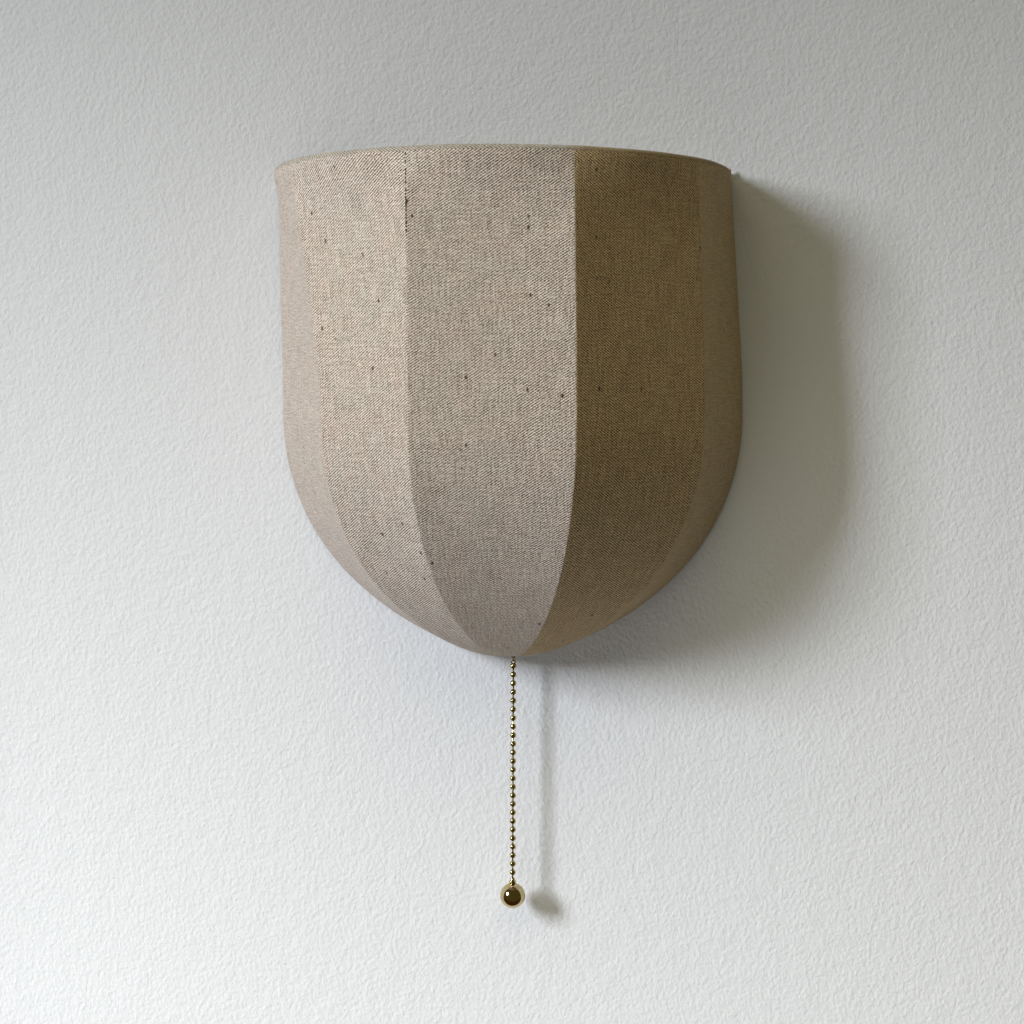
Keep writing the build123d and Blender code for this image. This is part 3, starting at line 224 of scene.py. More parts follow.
@dataclass(frozen=True)
class Linen(Finish):
    """Natural linen in plain weave, read from the piece's own cloth map."""

    lean: Lean = Lean.RISING
    pitch_across: float = 0.90  # millimetres between threads
    pitch_down: float = 0.60
    contrast: float = 0.9
    depth: float = 0.14  # of the weave, millimetres
    ridge: float = 0.78  # share of the diagonal lines in the weave
    wander: float = 0.9  # of a thread off its line, millimetres
    wander_cells: float = 60.0  # all cells are counted to a metre
    patch_cells: float = 240.0
    patch_range: Laid = (0.32, 0.66)
    patch: Laid = (0.7, 1.2)  # least and most strength of the weave
    grain: float = 0.42
    grain_cells: float = 1250.0
    upright: float = 0.22  # strength of the single threads that run down
    level: float = 0.16  # and of those that run across
    thread_cells: Laid = (1150.0, 75.0)  # across a thread and along it
    level_start: Triple = (3.1, 7.7, 0.0)  # of the level threads in their noise
    held: Laid = (0.12, 2.2)  # least and most brightness of a thread
    powers: Triple = (0.92, 1.0, 1.1)  # how each channel follows that brightness
    tint_cells: float = 70.0
    tint_range: Laid = (0.35, 0.65)
    tints: tuple[Triple, Triple] = ((1.02, 0.992, 0.99), (0.98, 1.006, 1.008))
    soft_edge: float = 1.8  # where a fleck ends, counted in its radius
    fleck_cells: Laid = (135.0, 80.0)
    fleck_size: float = 0.060  # radius as a share of a cell
    fleck_bare: float = 0.55  # share of the cells without one
    fleck_colour: Colour = (0.06, 0.036, 0.02)
    slub_cells: Laid = (70.0, 128.0)
    slub_size: float = 0.050
    slub_bare: float = 0.86
    slub_light: float = 1.45
    # painted shade: a darker, warmer colour for the cloth beyond the fourth rib, blended in over
    # the range on the next line
    painted_shade_colour: Colour | None = None  # beyond the fourth rib
    painted_shade_x: Laid = (30.0, 42.0)

    def weave(self, nodes: Nodes, across: Socket, down: Socket) -> Socket:
        """The height of the weave, from -1 to 1.

        Args:
            nodes: the material's nodes.
            across: the place across the cloth, in metres.
            down: the place down the cloth.

        Returns:
            The height's socket.
        """
        warp = nodes.sum("MULTIPLY", across, self.lean.value * pi / (self.pitch_across * MM))
        weft = nodes.sum("MULTIPLY", down, pi / (self.pitch_down * MM))
        lines = nodes.sum("COSINE", nodes.sum("ADD", weft, warp))
        dots = nodes.sum("COSINE", nodes.sum("SUBTRACT", weft, warp))
        ridge = nodes.sum("MULTIPLY", lines, self.ridge)
        return nodes.sum("ADD", ridge, nodes.sum("MULTIPLY", dots, 1 - self.ridge))

    def threads(self, nodes: Nodes, cloth: Socket) -> Socket:
        """Single threads that are thicker or thinner than the others, both ways.

        Args:
            nodes: the material's nodes.
            cloth: the cloth map.

        Returns:
            Their height's socket.
        """
        fine, long = self.thread_cells
        down = nodes.cloud(nodes.scaled(cloth, (fine, long, 1.0)), 1.0, 1.0)
        turned_map = nodes.scaled(cloth, (long, fine, 1.0), self.level_start)
        across = nodes.cloud(turned_map, 1.0, 1.0)
        uprights = nodes.sum("MULTIPLY", nodes.swing(down), self.upright)
        return nodes.sum("ADD", uprights, nodes.sum("MULTIPLY", nodes.swing(across), self.level))

    def lay(self, nodes: Nodes) -> Material:
        """Lay down threads, slubs, flecks, the cloth's slow change of tint and, where given,
        painted shade beyond the fourth rib.

        Args:
            nodes: the material's empty tree.

        Returns:
            The linen's material.
        """
        cloth = nodes.add("UVMap", uv_map=CLOTH_MAP).outputs[0]
        wander = nodes.add("TexNoise", {"Vector": cloth, "Scale": self.wander_cells, "Detail": 3.0})
        across, down = (
            nodes.sum("ADD", way, nodes.sum("MULTIPLY", drift, self.wander * MM))
            for way, drift in list(zip(nodes.split(cloth), nodes.split(wander.outputs[1])))[:2]
        )
        patch = nodes.span(nodes.cloud(cloth, self.patch_cells), *self.patch_range, *self.patch)
        weave = nodes.sum("MULTIPLY", self.weave(nodes, across, down), patch)
        specks = nodes.swing(nodes.cloud(cloth, self.grain_cells, 0.0))
        grain = nodes.sum("MULTIPLY", specks, self.grain)
        rough_weave = nodes.sum("ADD", nodes.sum("ADD", weave, grain), self.threads(nodes, cloth))
        light = nodes.sum("MULTIPLY_ADD", rough_weave, self.contrast, 1.0)
        light = nodes.span(light, *self.held, *self.held)
        tint = nodes.span(nodes.cloud(cloth, self.tint_cells, detail=3.0), *self.tint_range)
        base = nodes.mix(tint, *(self.shade(*shares) for shares in self.tints))
        # painted shade: beyond the fourth rib the colour is mixed towards a darker, warmer one, for
        # the side turned from the light
        if self.painted_shade_colour:
            along = nodes.split(nodes.where())[0]
            painted_shade_share = nodes.span(along, self.painted_shade_x[0] * MM, self.painted_shade_x[1] * MM)
            base = nodes.mix(painted_shade_share, base, self.painted_shade_colour)
        lit = nodes.tinted(base, *(nodes.sum("POWER", light, power) for power in self.powers))
        dark_flecks = self.flecks(nodes, cloth, self.fleck_cells, self.fleck_size, self.fleck_bare)
        flecked = nodes.mix(dark_flecks, lit, self.fleck_colour)
        light_slubs = self.flecks(nodes, cloth, self.slub_cells, self.slub_size, self.slub_bare)
        slubbed = nodes.mix(light_slubs, flecked, self.shade(*[self.slub_light] * 3))
        height = nodes.sum("MULTIPLY_ADD", rough_weave, 0.5, 0.5)
        return nodes.surface(
            Base_Color=slubbed,
            Roughness=0.92,
            Specular_IOR_Level=0.2,
            Sheen_Weight=0.12,
            Sheen_Roughness=0.6,
            Normal=nodes.bump(height, self.depth * MM),
        )

    def shade(self, red: float, green: float, blue: float) -> Colour:
        """The linen's colour with each channel raised or lowered."""
        return (self.colour[0] * red, self.colour[1] * green, self.colour[2] * blue)

    def flecks(self, nodes: Nodes, cloth: Socket, scale: Laid, size: float, bare: float) -> Socket:
        """Scatter small flecks over the cloth.

        Args:
            nodes: the material's nodes.
            cloth: the cloth map.
            scale: cells for each metre, across and down.
            size: a fleck's radius as a share of a cell.
            bare: share of the cells that have none.

        Returns:
            A mask's socket.
        """
        laid = nodes.scaled(cloth, (*scale, 1.0))
        cells = nodes.add("TexVoronoi", {"Vector": laid, "Scale": 1.0})
        spot = nodes.span(cells.outputs["Distance"], size, size * self.soft_edge, 1.0, 0.0)
        draw = nodes.split(cells.outputs["Color"])[0]
        return nodes.sum("MULTIPLY", spot, nodes.sum("GREATER_THAN", draw, bare))


@dataclass(frozen=True)
class Metal(Finish):
    """Plated, drawn or polished metal."""

    roughness: float = 0.25
    tarnish: Colour = (0.3, 0.2, 0.08)
    worn: float = 0.2
    rough_span: Laid = (0.8, 1.3)  # least and most, as shares of the roughness
    film_range: Laid = (0.45, 0.75)
    film_grain: float = 0.2  # of the tarnish, as a share of the marks' own
    grain: float = 900.0  # marks for each metre
    drawn: Triple = (1.0, 1.0, 0.35)  # which makes the marks long
    depth: float = 0.004

    def lay(self, nodes: Nodes) -> Material:
        """Lay down fine marks and a little tarnish.

        Args:
            nodes: the material's empty tree.

        Returns:
            The metal's material.
        """
        place = nodes.where()
        blots = nodes.cloud(place, self.grain * self.film_grain, detail=4.0, roughness=0.6)
        film = nodes.span(blots, *self.film_range, 0.0, self.worn)
        colour = nodes.mix(film, self.colour, self.tarnish)
        along = nodes.scaled(place, self.drawn)
        marks = nodes.cloud(along, self.grain, detail=3.0, roughness=0.6)
        least, most = (self.roughness * share for share in self.rough_span)
        rough = nodes.span(marks, *NOISE_RANGE, least, most)
        return nodes.surface(
            Base_Color=colour,
            Metallic=1.0,
            Roughness=rough,
            Normal=nodes.bump(marks, self.depth * MM),
        )


@dataclass(frozen=True)
class Coating(Finish):
    """Powder coat, moulding, rubber or enamel: a coloured surface with a fine grain."""

    roughness: float = 0.45
    rough_span: Laid = (0.9, 1.15)  # least and most, as shares of the roughness
    grain: float = 1600.0
    depth: float = 0.02
    spread: float = 0.04  # change of brightness over the surface
    spread_cells: float = 60.0  # for each metre
    coat: float = 0.0

    def lay(self, nodes: Nodes) -> Material:
        """Lay down the grain and a slow change of brightness.

        Args:
            nodes: the material's empty tree.

        Returns:
            The coating's material.
        """
        place = nodes.where()
        bright = (1.0 - self.spread, 1.0 + self.spread)
        changes = nodes.cloud(place, self.spread_cells, detail=3.0)
        slow = nodes.span(changes, *NOISE_RANGE, *bright)
        grain = nodes.cloud(place, self.grain)
        least, most = (min(1.0, self.roughness * share) for share in self.rough_span)
        rough = nodes.span(grain, *NOISE_RANGE, least, most)
        return nodes.surface(
            Base_Color=nodes.tinted(self.colour, slow),
            Roughness=rough,
            Coat_Weight=self.coat,
            Normal=nodes.bump(grain, self.depth * MM),
        )


@dataclass(frozen=True)
class Glass(Finish):
    """Clear glass with a faint unevenness."""

    roughness: Laid = (0.01, 0.04)
    wave_cells: float = 90.0  # for each metre
    depth: float = 0.05

    def lay(self, nodes: Nodes) -> Material:
        """Lay down clear glass.

        Args:
            nodes: the material's empty tree.

        Returns:
            The glass's material.
        """
        wave = nodes.cloud(nodes.where(), self.wave_cells)
        return nodes.surface(
            Base_Color=self.colour,
            Roughness=nodes.span(wave, *NOISE_RANGE, *self.roughness),
            IOR=1.5,
            Transmission_Weight=1.0,
            Normal=nodes.bump(wave, self.depth * MM),
        )


@dataclass(frozen=True)
class Striped(Finish):
    """Lead insulation with a second colour along it."""

    stripe: Colour = (0.75, 0.62, 0.05)
    turns: float = 2600.0  # of the colours, in radians for each metre
    roughness: Laid = (0.35, 0.55)
    scuff_cells: float = 700.0  # for each metre
    depth: float = 0.01

    def lay(self, nodes: Nodes) -> Material:
        """Lay down the two colours side by side.

        Args:
            nodes: the material's empty tree.

        Returns:
            The insulation's material.
        """
        place = nodes.where()
        along = nodes.sum("MULTIPLY", nodes.split(place)[1], self.turns)
        side = nodes.sum("GREATER_THAN", nodes.sum("SINE", along))
        scuffs = nodes.cloud(place, self.scuff_cells, detail=3.0)
        return nodes.surface(
            Base_Color=nodes.mix(side, self.colour, self.stripe),
            Roughness=nodes.span(scuffs, *NOISE_RANGE, *self.roughness),
            Normal=nodes.bump(scuffs, self.depth * MM),
        )


LINEN = Linen("linen rising", (0.370, 0.305, 0.248))
# painted shade: the fourth and fifth gores get darker, warmer copies of the linen, for the side
# turned from the light
LINEN_FALLING_PAINTED_SHADE = Linen("linen falling", (0.318, 0.223, 0.110), lean=Lean.FALLING)
LINEN_SIDE_PAINTED_SHADE = Linen("linen side", (0.372, 0.262, 0.122), lean=Lean.FALLING, contrast=0.7)
# painted shade: the hem and the roll turn to a darker, warmer colour beyond the fourth rib
HEM_LINEN = Linen(
    "hem linen", (0.365, 0.305, 0.245), contrast=0.45, depth=0.08, painted_shade_colour=(0.36, 0.255, 0.12)
)
# painted shade: the upper roll's linen is darker, for the shade on the roll
ROLL_LINEN_PAINTED_SHADE = Linen(
    "roll linen", (0.27, 0.235, 0.19), contrast=0.6, depth=0.10, painted_shade_colour=(0.22, 0.165, 0.085)
)
SEAM_THREAD = Coating("seam thread", (0.05, 0.035, 0.022), roughness=0.8, grain=3000.0, depth=0.05)
POLISHED_BRASS = Metal("polished brass", (0.58, 0.48, 0.26), roughness=0.09, worn=0.35, depth=0.001)

SLOT_FINISHES: dict[str, Finish] = {
    "frame_wire": Coating("frame wire", (0.74, 0.72, 0.68), roughness=0.5),
    "plate_paint": Coating("plate paint", (0.78, 0.77, 0.74), roughness=0.5, depth=0.03),
    "zinc": Metal("zinc", (0.62, 0.62, 0.60), roughness=0.32, tarnish=(0.35, 0.36, 0.37)),
    "spring_steel": Metal("spring steel", (0.55, 0.56, 0.57), 0.22, (0.28, 0.27, 0.26)),
    "polished_brass": POLISHED_BRASS,
    "contact_brass": Metal("contact brass", (0.70, 0.52, 0.26), roughness=0.35),
    "black_moulding": Coating("black moulding", (0.022, 0.022, 0.024), roughness=0.35, coat=0.1),
    "white_moulding": Coating("white moulding", (0.76, 0.76, 0.73), roughness=0.4),
    "grey_rubber": Coating("grey rubber", (0.05, 0.05, 0.053), roughness=0.8, depth=0.04),
    "nylon": Coating("nylon", (0.80, 0.78, 0.70), roughness=0.35, coat=0.15),
    "cap_nickel": Metal("cap nickel", (0.66, 0.64, 0.60), roughness=0.2, tarnish=(0.4, 0.36, 0.3)),
    "cap_glass": Coating("cap glass", (0.012, 0.012, 0.016), roughness=0.12, coat=0.5),
    "clear_glass": Glass("clear glass", (0.96, 0.98, 0.98)),
    "stem_glass": Glass("stem glass", (0.92, 0.95, 0.95)),
    "filament": Coating("filament", (0.86, 0.58, 0.10), roughness=0.55, depth=0.02),
    "lead_brown": Coating("brown lead", (0.06, 0.022, 0.008), roughness=0.4),
    "lead_black": Coating("black lead", (0.012, 0.012, 0.012), roughness=0.4),
    "lead_blue": Coating("blue lead", (0.02, 0.06, 0.28), roughness=0.4),
    "lead_green": Striped("striped lead", (0.05, 0.24, 0.02)),
}


# ---------------------------------------------------------------- making pieces


def put(name: str, data: bpy.types.ID) -> Thing:
    """Put a new object in the scene."""
    thing = bpy.data.objects.new(name, data)
    bpy.context.scene.collection.objects.link(thing)
    return thing


def put_mesh(name: str, shape: Shape, material: Material) -> Thing:
    """Put a shape in the scene.

    Args:
        name: the object's name.
        shape: its shape, which is used up.
        material: its material.

    Returns:
        The object.
    """
    mesh = bpy.data.meshes.new(name)
    shape.to_mesh(mesh)
    shape.free()
    mesh.materials.append(material)
    return put(name, mesh)


@dataclass(frozen=True)
class Piece:
    """What one new piece is called, what it moves with and how it is finished."""

    name: str
    body: str
    slot: str
    finish: Finish
    stands_for: tuple[str, ...] = ()

    def make(self, shape: Shape, wall: float = 0.0) -> Thing:
        """Turn a shape drawn in millimetres into a dressed piece.

        Args:
            shape: the piece's shape, which is used up.
            wall: thickness of cloth to add behind the surface, in millimetres.

        Returns:
            The piece.
        """
        bmesh.ops.scale(shape, vec=(MM, MM, MM), verts=shape.verts)
        thing = put_mesh(self.name, shape, self.finish.material())
        if wall:
            shell = thing.modifiers.new("cloth", "SOLIDIFY")
            shell.thickness = wall * MM
            shell.offset = -1.0
        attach(thing, self.body)
        if self.stands_for:
            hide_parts(*self.stands_for)
        log.info("%s: %d faces on %s", self.name, len(thing.data.polygons), self.body)
        return thing


def sheet_shape(columns: int, rows: int, lay: Callable[[int, int], tuple[Vector, Laid]]) -> Shape:
    """A grid carried to its place as cloth, with its own cloth map.

    Args:
        columns: faces across.
        rows: faces down.
        lay: gives a grid point's place and its place on the flat cloth, in millimetres.

    Returns:
        The sheet's shape.
    """
    shape = bmesh.new()
    bmesh.ops.create_grid(shape, x_segments=columns, y_segments=rows, size=0.5)
    flat: dict[Vert, Laid] = {}
    for vert in shape.verts:
        column = round((vert.co.x + 0.5) * columns)
        row = round((0.5 - vert.co.y) * rows)
        vert.co, flat[vert] = lay(column, row)
    write_map(shape, lambda vert: flat[vert])
    return shape


def smooth(shape: Shape) -> Shape:
    """Shade all of a shape smooth, and give it back."""
    for face in shape.faces:
        face.smooth = True
    return shape


def shift(shape: Shape, way: Vector | Triple) -> None:
    """Move all of a shape."""
    bmesh.ops.translate(shape, vec=way, verts=shape.verts)


def turned(shape: Shape, matrix: Matrix) -> None:
    """Turn all of a shape about the origin."""
    bmesh.ops.rotate(shape, cent=(0, 0, 0), matrix=matrix, verts=shape.verts)


def write_map(shape: Shape, flat: Callable[[Vert], Laid]) -> None:
    """Write the cloth map of a smooth shape, and keep its open edges crisp.

    Args:
        shape: the shape.
        flat: gives a vertex's place on the flat cloth, in millimetres.
    """
    layer = smooth(shape).loops.layers.uv.new(CLOTH_MAP)
    for face in shape.faces:
        for loop in face.loops:
            loop[layer].uv = [value * MM for value in flat(loop.vert)]
    for edge in shape.edges:
        edge.smooth = not edge.is_boundary


def face_out(shape: Shape, out: Callable[[Vector], Vector]) -> None:
    """Turn an evenly wound shape so that its faces look outwards.

    Args:
        shape: the shape.
        out: gives the outward direction at a point.
    """
    shape.normal_update()
    total = 0.0
    for face in shape.faces:
        total += face.normal.dot(out(face.calc_center_median())) * face.calc_area()
    if total < 0:
        bmesh.ops.reverse_faces(shape, faces=shape.faces)


def arc_of_verts(shape: Shape, start: Vector, centre: Vector, turn: float, steps: int) -> list:
    """A line of points turned round a centre in the X-Z plane.

    Args:
        shape: the shape to add to.
        start: the first point.
        centre: the arc's centre.
        turn: the arc's angle, positive from +X towards +Z.
        steps: how many edges it gets.

    Returns:
        The line's vertices and edges.
    """
    first = shape.verts.new(start)
    axis = (0.0, -1.0, 0.0) if turn > 0 else (0.0, 1.0, 0.0)
    bmesh.ops.spin(shape, geom=[first], cent=centre, axis=axis, angle=abs(turn), steps=steps)
    return [*shape.verts, *shape.edges]


def revolve(shape: Shape, steps: int, turns: int = 1, rise: float = 0.0) -> None:
    """Turn a section about the upright axis, into a closed ring or a coil.

    Args:
        shape: the section, which becomes the solid.
        steps: how many faces go round, in all.
        turns: how many times it goes round.
        rise: how far it climbs in all.
    """
    bmesh.ops.spin(
        shape,
        geom=[*shape.verts, *shape.edges],
        cent=(0, 0, 0),
        axis=(0, 0, 1),
        dvec=(0, 0, rise / steps),
        angle=2 * pi * turns,
        steps=steps,
        use_merge=not rise,
    )
    bmesh.ops.remove_doubles(shape, verts=shape.verts, dist=TOUCHING)
    bmesh.ops.recalc_face_normals(shape, faces=shape.faces)


def wire_section(wire_r: float, ring_r: float, z: float, sides: int) -> Shape:
    """The round section of a wire that goes round the upright axis.

    Args:
        wire_r: radius of the wire.
        ring_r: the section's distance from the axis.
        z: its height.
        sides: how many edges it has.

    Returns:
        The section.
    """
    shape = bmesh.new()
    bmesh.ops.create_circle(shape, cap_ends=False, radius=wire_r, segments=sides)
    turned(shape, Matrix.Rotation(pi / 2, 3, "X"))
    shift(shape, (ring_r, 0, z))
    return shape


def torus(shape: Shape, centre: Vector, turn: Matrix, ring_r: float, wire_r: float) -> None:
    """Add a closed ring of round wire.

    Args:
        shape: the shape to add to.
        centre: the ring's centre.
        turn: how the ring is turned from lying flat.
        ring_r: radius of the wire's middle line.
        wire_r: radius of the wire.
    """
    hoop = wire_section(wire_r, ring_r, z=0.0, sides=14)
    revolve(hoop, steps=32)
    turned(hoop, turn)
    shift(hoop, centre)
    join(shape, hoop)


def join(shape: Shape, part: Shape) -> None:
    """Add one shape to another, smooth.

    Args:
        shape: the shape to add to.
        part: the shape to add, which is used up.
    """
    carrier = bpy.data.meshes.new("carrier")
    smooth(part).to_mesh(carrier)
    part.free()
    shape.from_mesh(carrier)
    bpy.data.meshes.remove(carrier)


def spun(points: list[Laid], steps: int) -> Shape:
    """A closed solid of revolution about the upright axis.

    Args:
        points: radius and height of its section, from one pole to the other.
        steps: how many faces go round.

    Returns:
        The solid's shape.
    """
    shape = bmesh.new()
    verts = [shape.verts.new((r, 0, z)) for r, z in points]
    for pair in zip(verts, verts[1:]):
        shape.edges.new(pair)
    revolve(shape, steps)
    return shape


# ---------------------------------------------------------------- the shade's form


@dataclass(frozen=True)
class ShadeForm:
    """The outer surface of the stretched cloth, in millimetres."""

    top_z: float = 130.0
    height: float = 239.0
    half_width: float = 115.0
    top_r: float = 112.4
    bulge_height: float = 118.4
    foot_slope: float = 16.5
    split_slope: float = 44.0
    bend_tangent: float = 18.0
    rib_angles: tuple[float, ...] = (0.0, 45.0, 71.0, 108.7, 144.9, 180.0)
    rib_top_angles: tuple[float, ...] = (0.0, 33.5, 72.3, 110.6, 147.2, 180.0)
    top_shift: float = -4.4  # of the upper ring along the wall
    round_fade: float = 36.0
    foot_fade: float = 12.0
    saddle: float = 1.1
    cloth_t: float = 0.7
    wall_gap: float = 0.3
    ring_wire_r: float = 1.5
    rib_wire_r: float = 1.25
    ring_gap: float = 0.08
    foot_ring_r: float = 17.0
    foot_lip_rise: float = 0.3
    row_step: float = 2.4
    relief_depth: float = 0.30  # of the cloth's slow unevenness
    relief_size: float = 30.0
    ripple: float = 0.35  # share of the quicker unevenness
    ripple_size: float = 9.0

    def __post_init__(self) -> None:
        """Work out the places that follow from the sizes."""
        places = {
            "inner_roll_r": self.ring_wire_r + self.ring_gap,
            "roll_r": self.ring_wire_r + self.ring_gap + self.cloth_t,
            "axis_y": -(self.wall_gap + self.cloth_t),
            "side_y": -(self.wall_gap + self.cloth_t + self.rib_wire_r),
            "last_rib": len(self.rib_angles) - 1,
            "foot_roll_z": self.top_z - self.height,
            "bulge_z": self.top_z - self.height + self.bulge_height,
        }
        roll = places["roll_r"]
        foot, split = radians(self.foot_slope), radians(self.split_slope)
        places["top_ring_r"] = self.top_r - roll
        places["top_ring_z"] = self.top_z - roll
        places["foot_ring_z"] = places["foot_roll_z"] + roll
        places["upper_rise"] = places["top_ring_z"] - places["bulge_z"]
        lip_drop = places["inner_roll_r"] * cos(foot) - self.foot_lip_rise
        places["end_z"] = places["foot_ring_z"] - lip_drop
        places["round_z"] = places["top_ring_z"] - places["inner_roll_r"]
        foot_r = self.foot_ring_r + roll * sin(foot)
        foot_z = places["foot_ring_z"] - roll * cos(foot)
        run, rise = self.half_width - foot_r, places["bulge_z"] - foot_z
        run_low, run_up = sin(split) - sin(foot), 1 - sin(split)
        rise_low, rise_up = cos(foot) - cos(split), cos(split)
        span = run_low * rise_up - run_up * rise_low
        places["low_r"] = (run * rise_up - rise * run_up) / span
        places["up_r"] = (rise * run_low - run * rise_low) / span
        places["low_centre_r"] = foot_r - places["low_r"] * sin(foot)
        places["low_centre_z"] = foot_z + places["low_r"] * cos(foot)
        places["up_centre_r"] = self.half_width - places["up_r"]
        for name, value in places.items():
            object.__setattr__(self, name, value)

    def slope_at(self, z: float) -> float:
        """The side profile's slope at a height.

        Args:
            z: the height.

        Returns:
            The slope in radians, a quarter turn where the profile stands upright.
        """
        if z >= self.bulge_z:
            return pi / 2
        if z < self.bulge_z - self.up_r * cos(radians(self.split_slope)):
            return acos(min(1.0, (self.low_centre_z - z) / self.low_r))
        return acos(min(1.0, (self.bulge_z - z) / self.up_r))

    def radius_at(self, z: float) -> float:
        """The side profile's radius at a height.

        Args:
            z: the height.

        Returns:
            The cloth's distance from the shade's upright axis over a rib.
        """
        if z >= self.bulge_z:
            return self.half_width
        slope = self.slope_at(z)
        if slope < radians(self.split_slope):
            return self.low_centre_r + self.low_r * sin(slope)
        return self.up_centre_r + self.up_r * sin(slope)

    def lean_share(self, z: float) -> float:
        """How far a rib has moved towards its place on the upper ring.

        Args:
            z: the height, not under the widest level.

        Returns:
            The share, 0 at the widest level and 1 at the ring.
        """
        height, bend = z - self.bulge_z, self.bend_tangent
        if height < 2 * bend:
            return height**2 / (4 * bend * (self.upper_rise - bend))
        return (height - bend) / (self.upper_rise - bend)

    def around(self, angle: float, r: float, z: float) -> Vector:
        """The point at an angle round the shade's upright axis."""
        turn = radians(angle)
        return Vector((-r * cos(turn), self.axis_y - r * sin(turn), z))

    def axis_at(self, z: float) -> Vector:
        """The middle of the shade's level section along the wall, at a height."""
        share = self.lean_share(z) if z > self.bulge_z else 0.0
        return Vector((self.top_shift * share, self.axis_y, z))

    def corner(self, rib: int, z: float) -> Vector:
        """The cloth's corner over a rib, at a height.

        Args:
            rib: the rib's number from the left.
            z: the height.

        Returns:
            The corner's place.
        """
        if z <= self.bulge_z:
            point = self.around(self.rib_angles[rib], self.radius_at(z), z)
        else:
            low = self.around(self.rib_angles[rib], self.half_width, z)
            high = self.around(self.rib_top_angles[rib], self.top_r, z)
            point = low.lerp(high + Vector((self.top_shift, 0, 0)), self.lean_share(z))
        if rib in (0, self.last_rib):
            point.y = self.side_y
        return point

    def facing(self, gore: int, z: float) -> Vector:
        """The level direction that a gore faces at a height.

        Args:
            gore: the gore's number; one past either end is the side hem.
            z: the height.

        Returns:
            A direction of length 1.
        """
        if gore < 0:
            return Vector((-1.0, 0.0, 0.0))
        if gore >= self.last_rib:
            return Vector((1.0, 0.0, 0.0))
        chord = self.corner(gore + 1, z) - self.corner(gore, z)
        return Vector((chord.y, -chord.x, 0.0)).normalized()

    def roundness(self, z: float) -> float:
        """How far a gore follows the ring beside it at a height, from flat to round."""
        top = max(0.0, 1 - max(0.0, self.round_z - z) / self.round_fade) ** 2
        foot = max(0.0, 1 - (z - self.end_z) / self.foot_fade) ** 2
        return top + foot

    def drawn_in(self, z: float) -> float:
        """How deep a gore draws in between its curved ribs at a height."""
        down = min(1.0, max(0.0, (self.bulge_z - z) / (self.bulge_z - self.end_z)))
        return self.saddle * sin(pi * down) ** 2

    def rounding(self, gore: int, rib: int, aside: float, z: float) -> Vector:
        """How the cloth rounds the rib instead of meeting in a sharp corner.

        Args:
            gore: the gore's number.
            rib: the rib's number.
            aside: distance from the corner along the cloth.
            z: the height.

        Returns:
            The shift of a point of the cloth.
        """
        own = self.facing(gore, z)
        beside = self.facing(gore - 1 if rib == gore else gore + 1, z)
        half = own.angle(beside) / 2
        r = self.rib_wire_r + self.cloth_t
        tangent = r * tan(half)
        if aside >= tangent:
            return Vector((0, 0, 0))
        toward = (own + beside).normalized().lerp(own, aside / tangent)
        deepest = r * (1 / cos(half) - 1)
        return -toward * deepest * (1 - aside / tangent) ** 2

    def relief(self, point: Vector) -> float:
        """The cloth's slow unevenness at a point."""
        slow = noise.noise(point / self.relief_size)
        quick = noise.noise(point / self.ripple_size + Vector((7, 3, 1)))
        return self.relief_depth * (slow + self.ripple * quick)

    def levels(self) -> list[Laid]:
        """Rows of the cloth from the upper ring to the lower one.

        Returns:
            For each row, its distance down the cloth and its height.
        """
        heights = [self.top_ring_z]
        while heights[-1] - self.row_step > self.bulge_z:
            heights.append(heights[-1] - self.row_step)
        last_slope = self.slope_at(self.end_z)
        split = radians(self.split_slope)
        upper = max(1, round((pi / 2 - split) * self.up_r / self.row_step))
        lower = max(1, round((split - last_slope) * self.low_r / self.row_step))
        for step in range(upper):
            heights.append(self.bulge_z - self.up_r * cos(pi / 2 - (pi / 2 - split) * step / upper))
        for step in range(lower + 1):
            slope = split - (split - last_slope) * step / lower
            heights.append(self.low_centre_z - self.low_r * cos(slope))
        rows, down = [(0.0, heights[0])], 0.0
        for above, below in zip(heights, heights[1:]):
            down += hypot(above - below, self.radius_at(above) - self.radius_at(below))
            rows.append((down, below))
        return rows


FORM = ShadeForm()


# ---------------------------------------------------------------- the shade's cloth


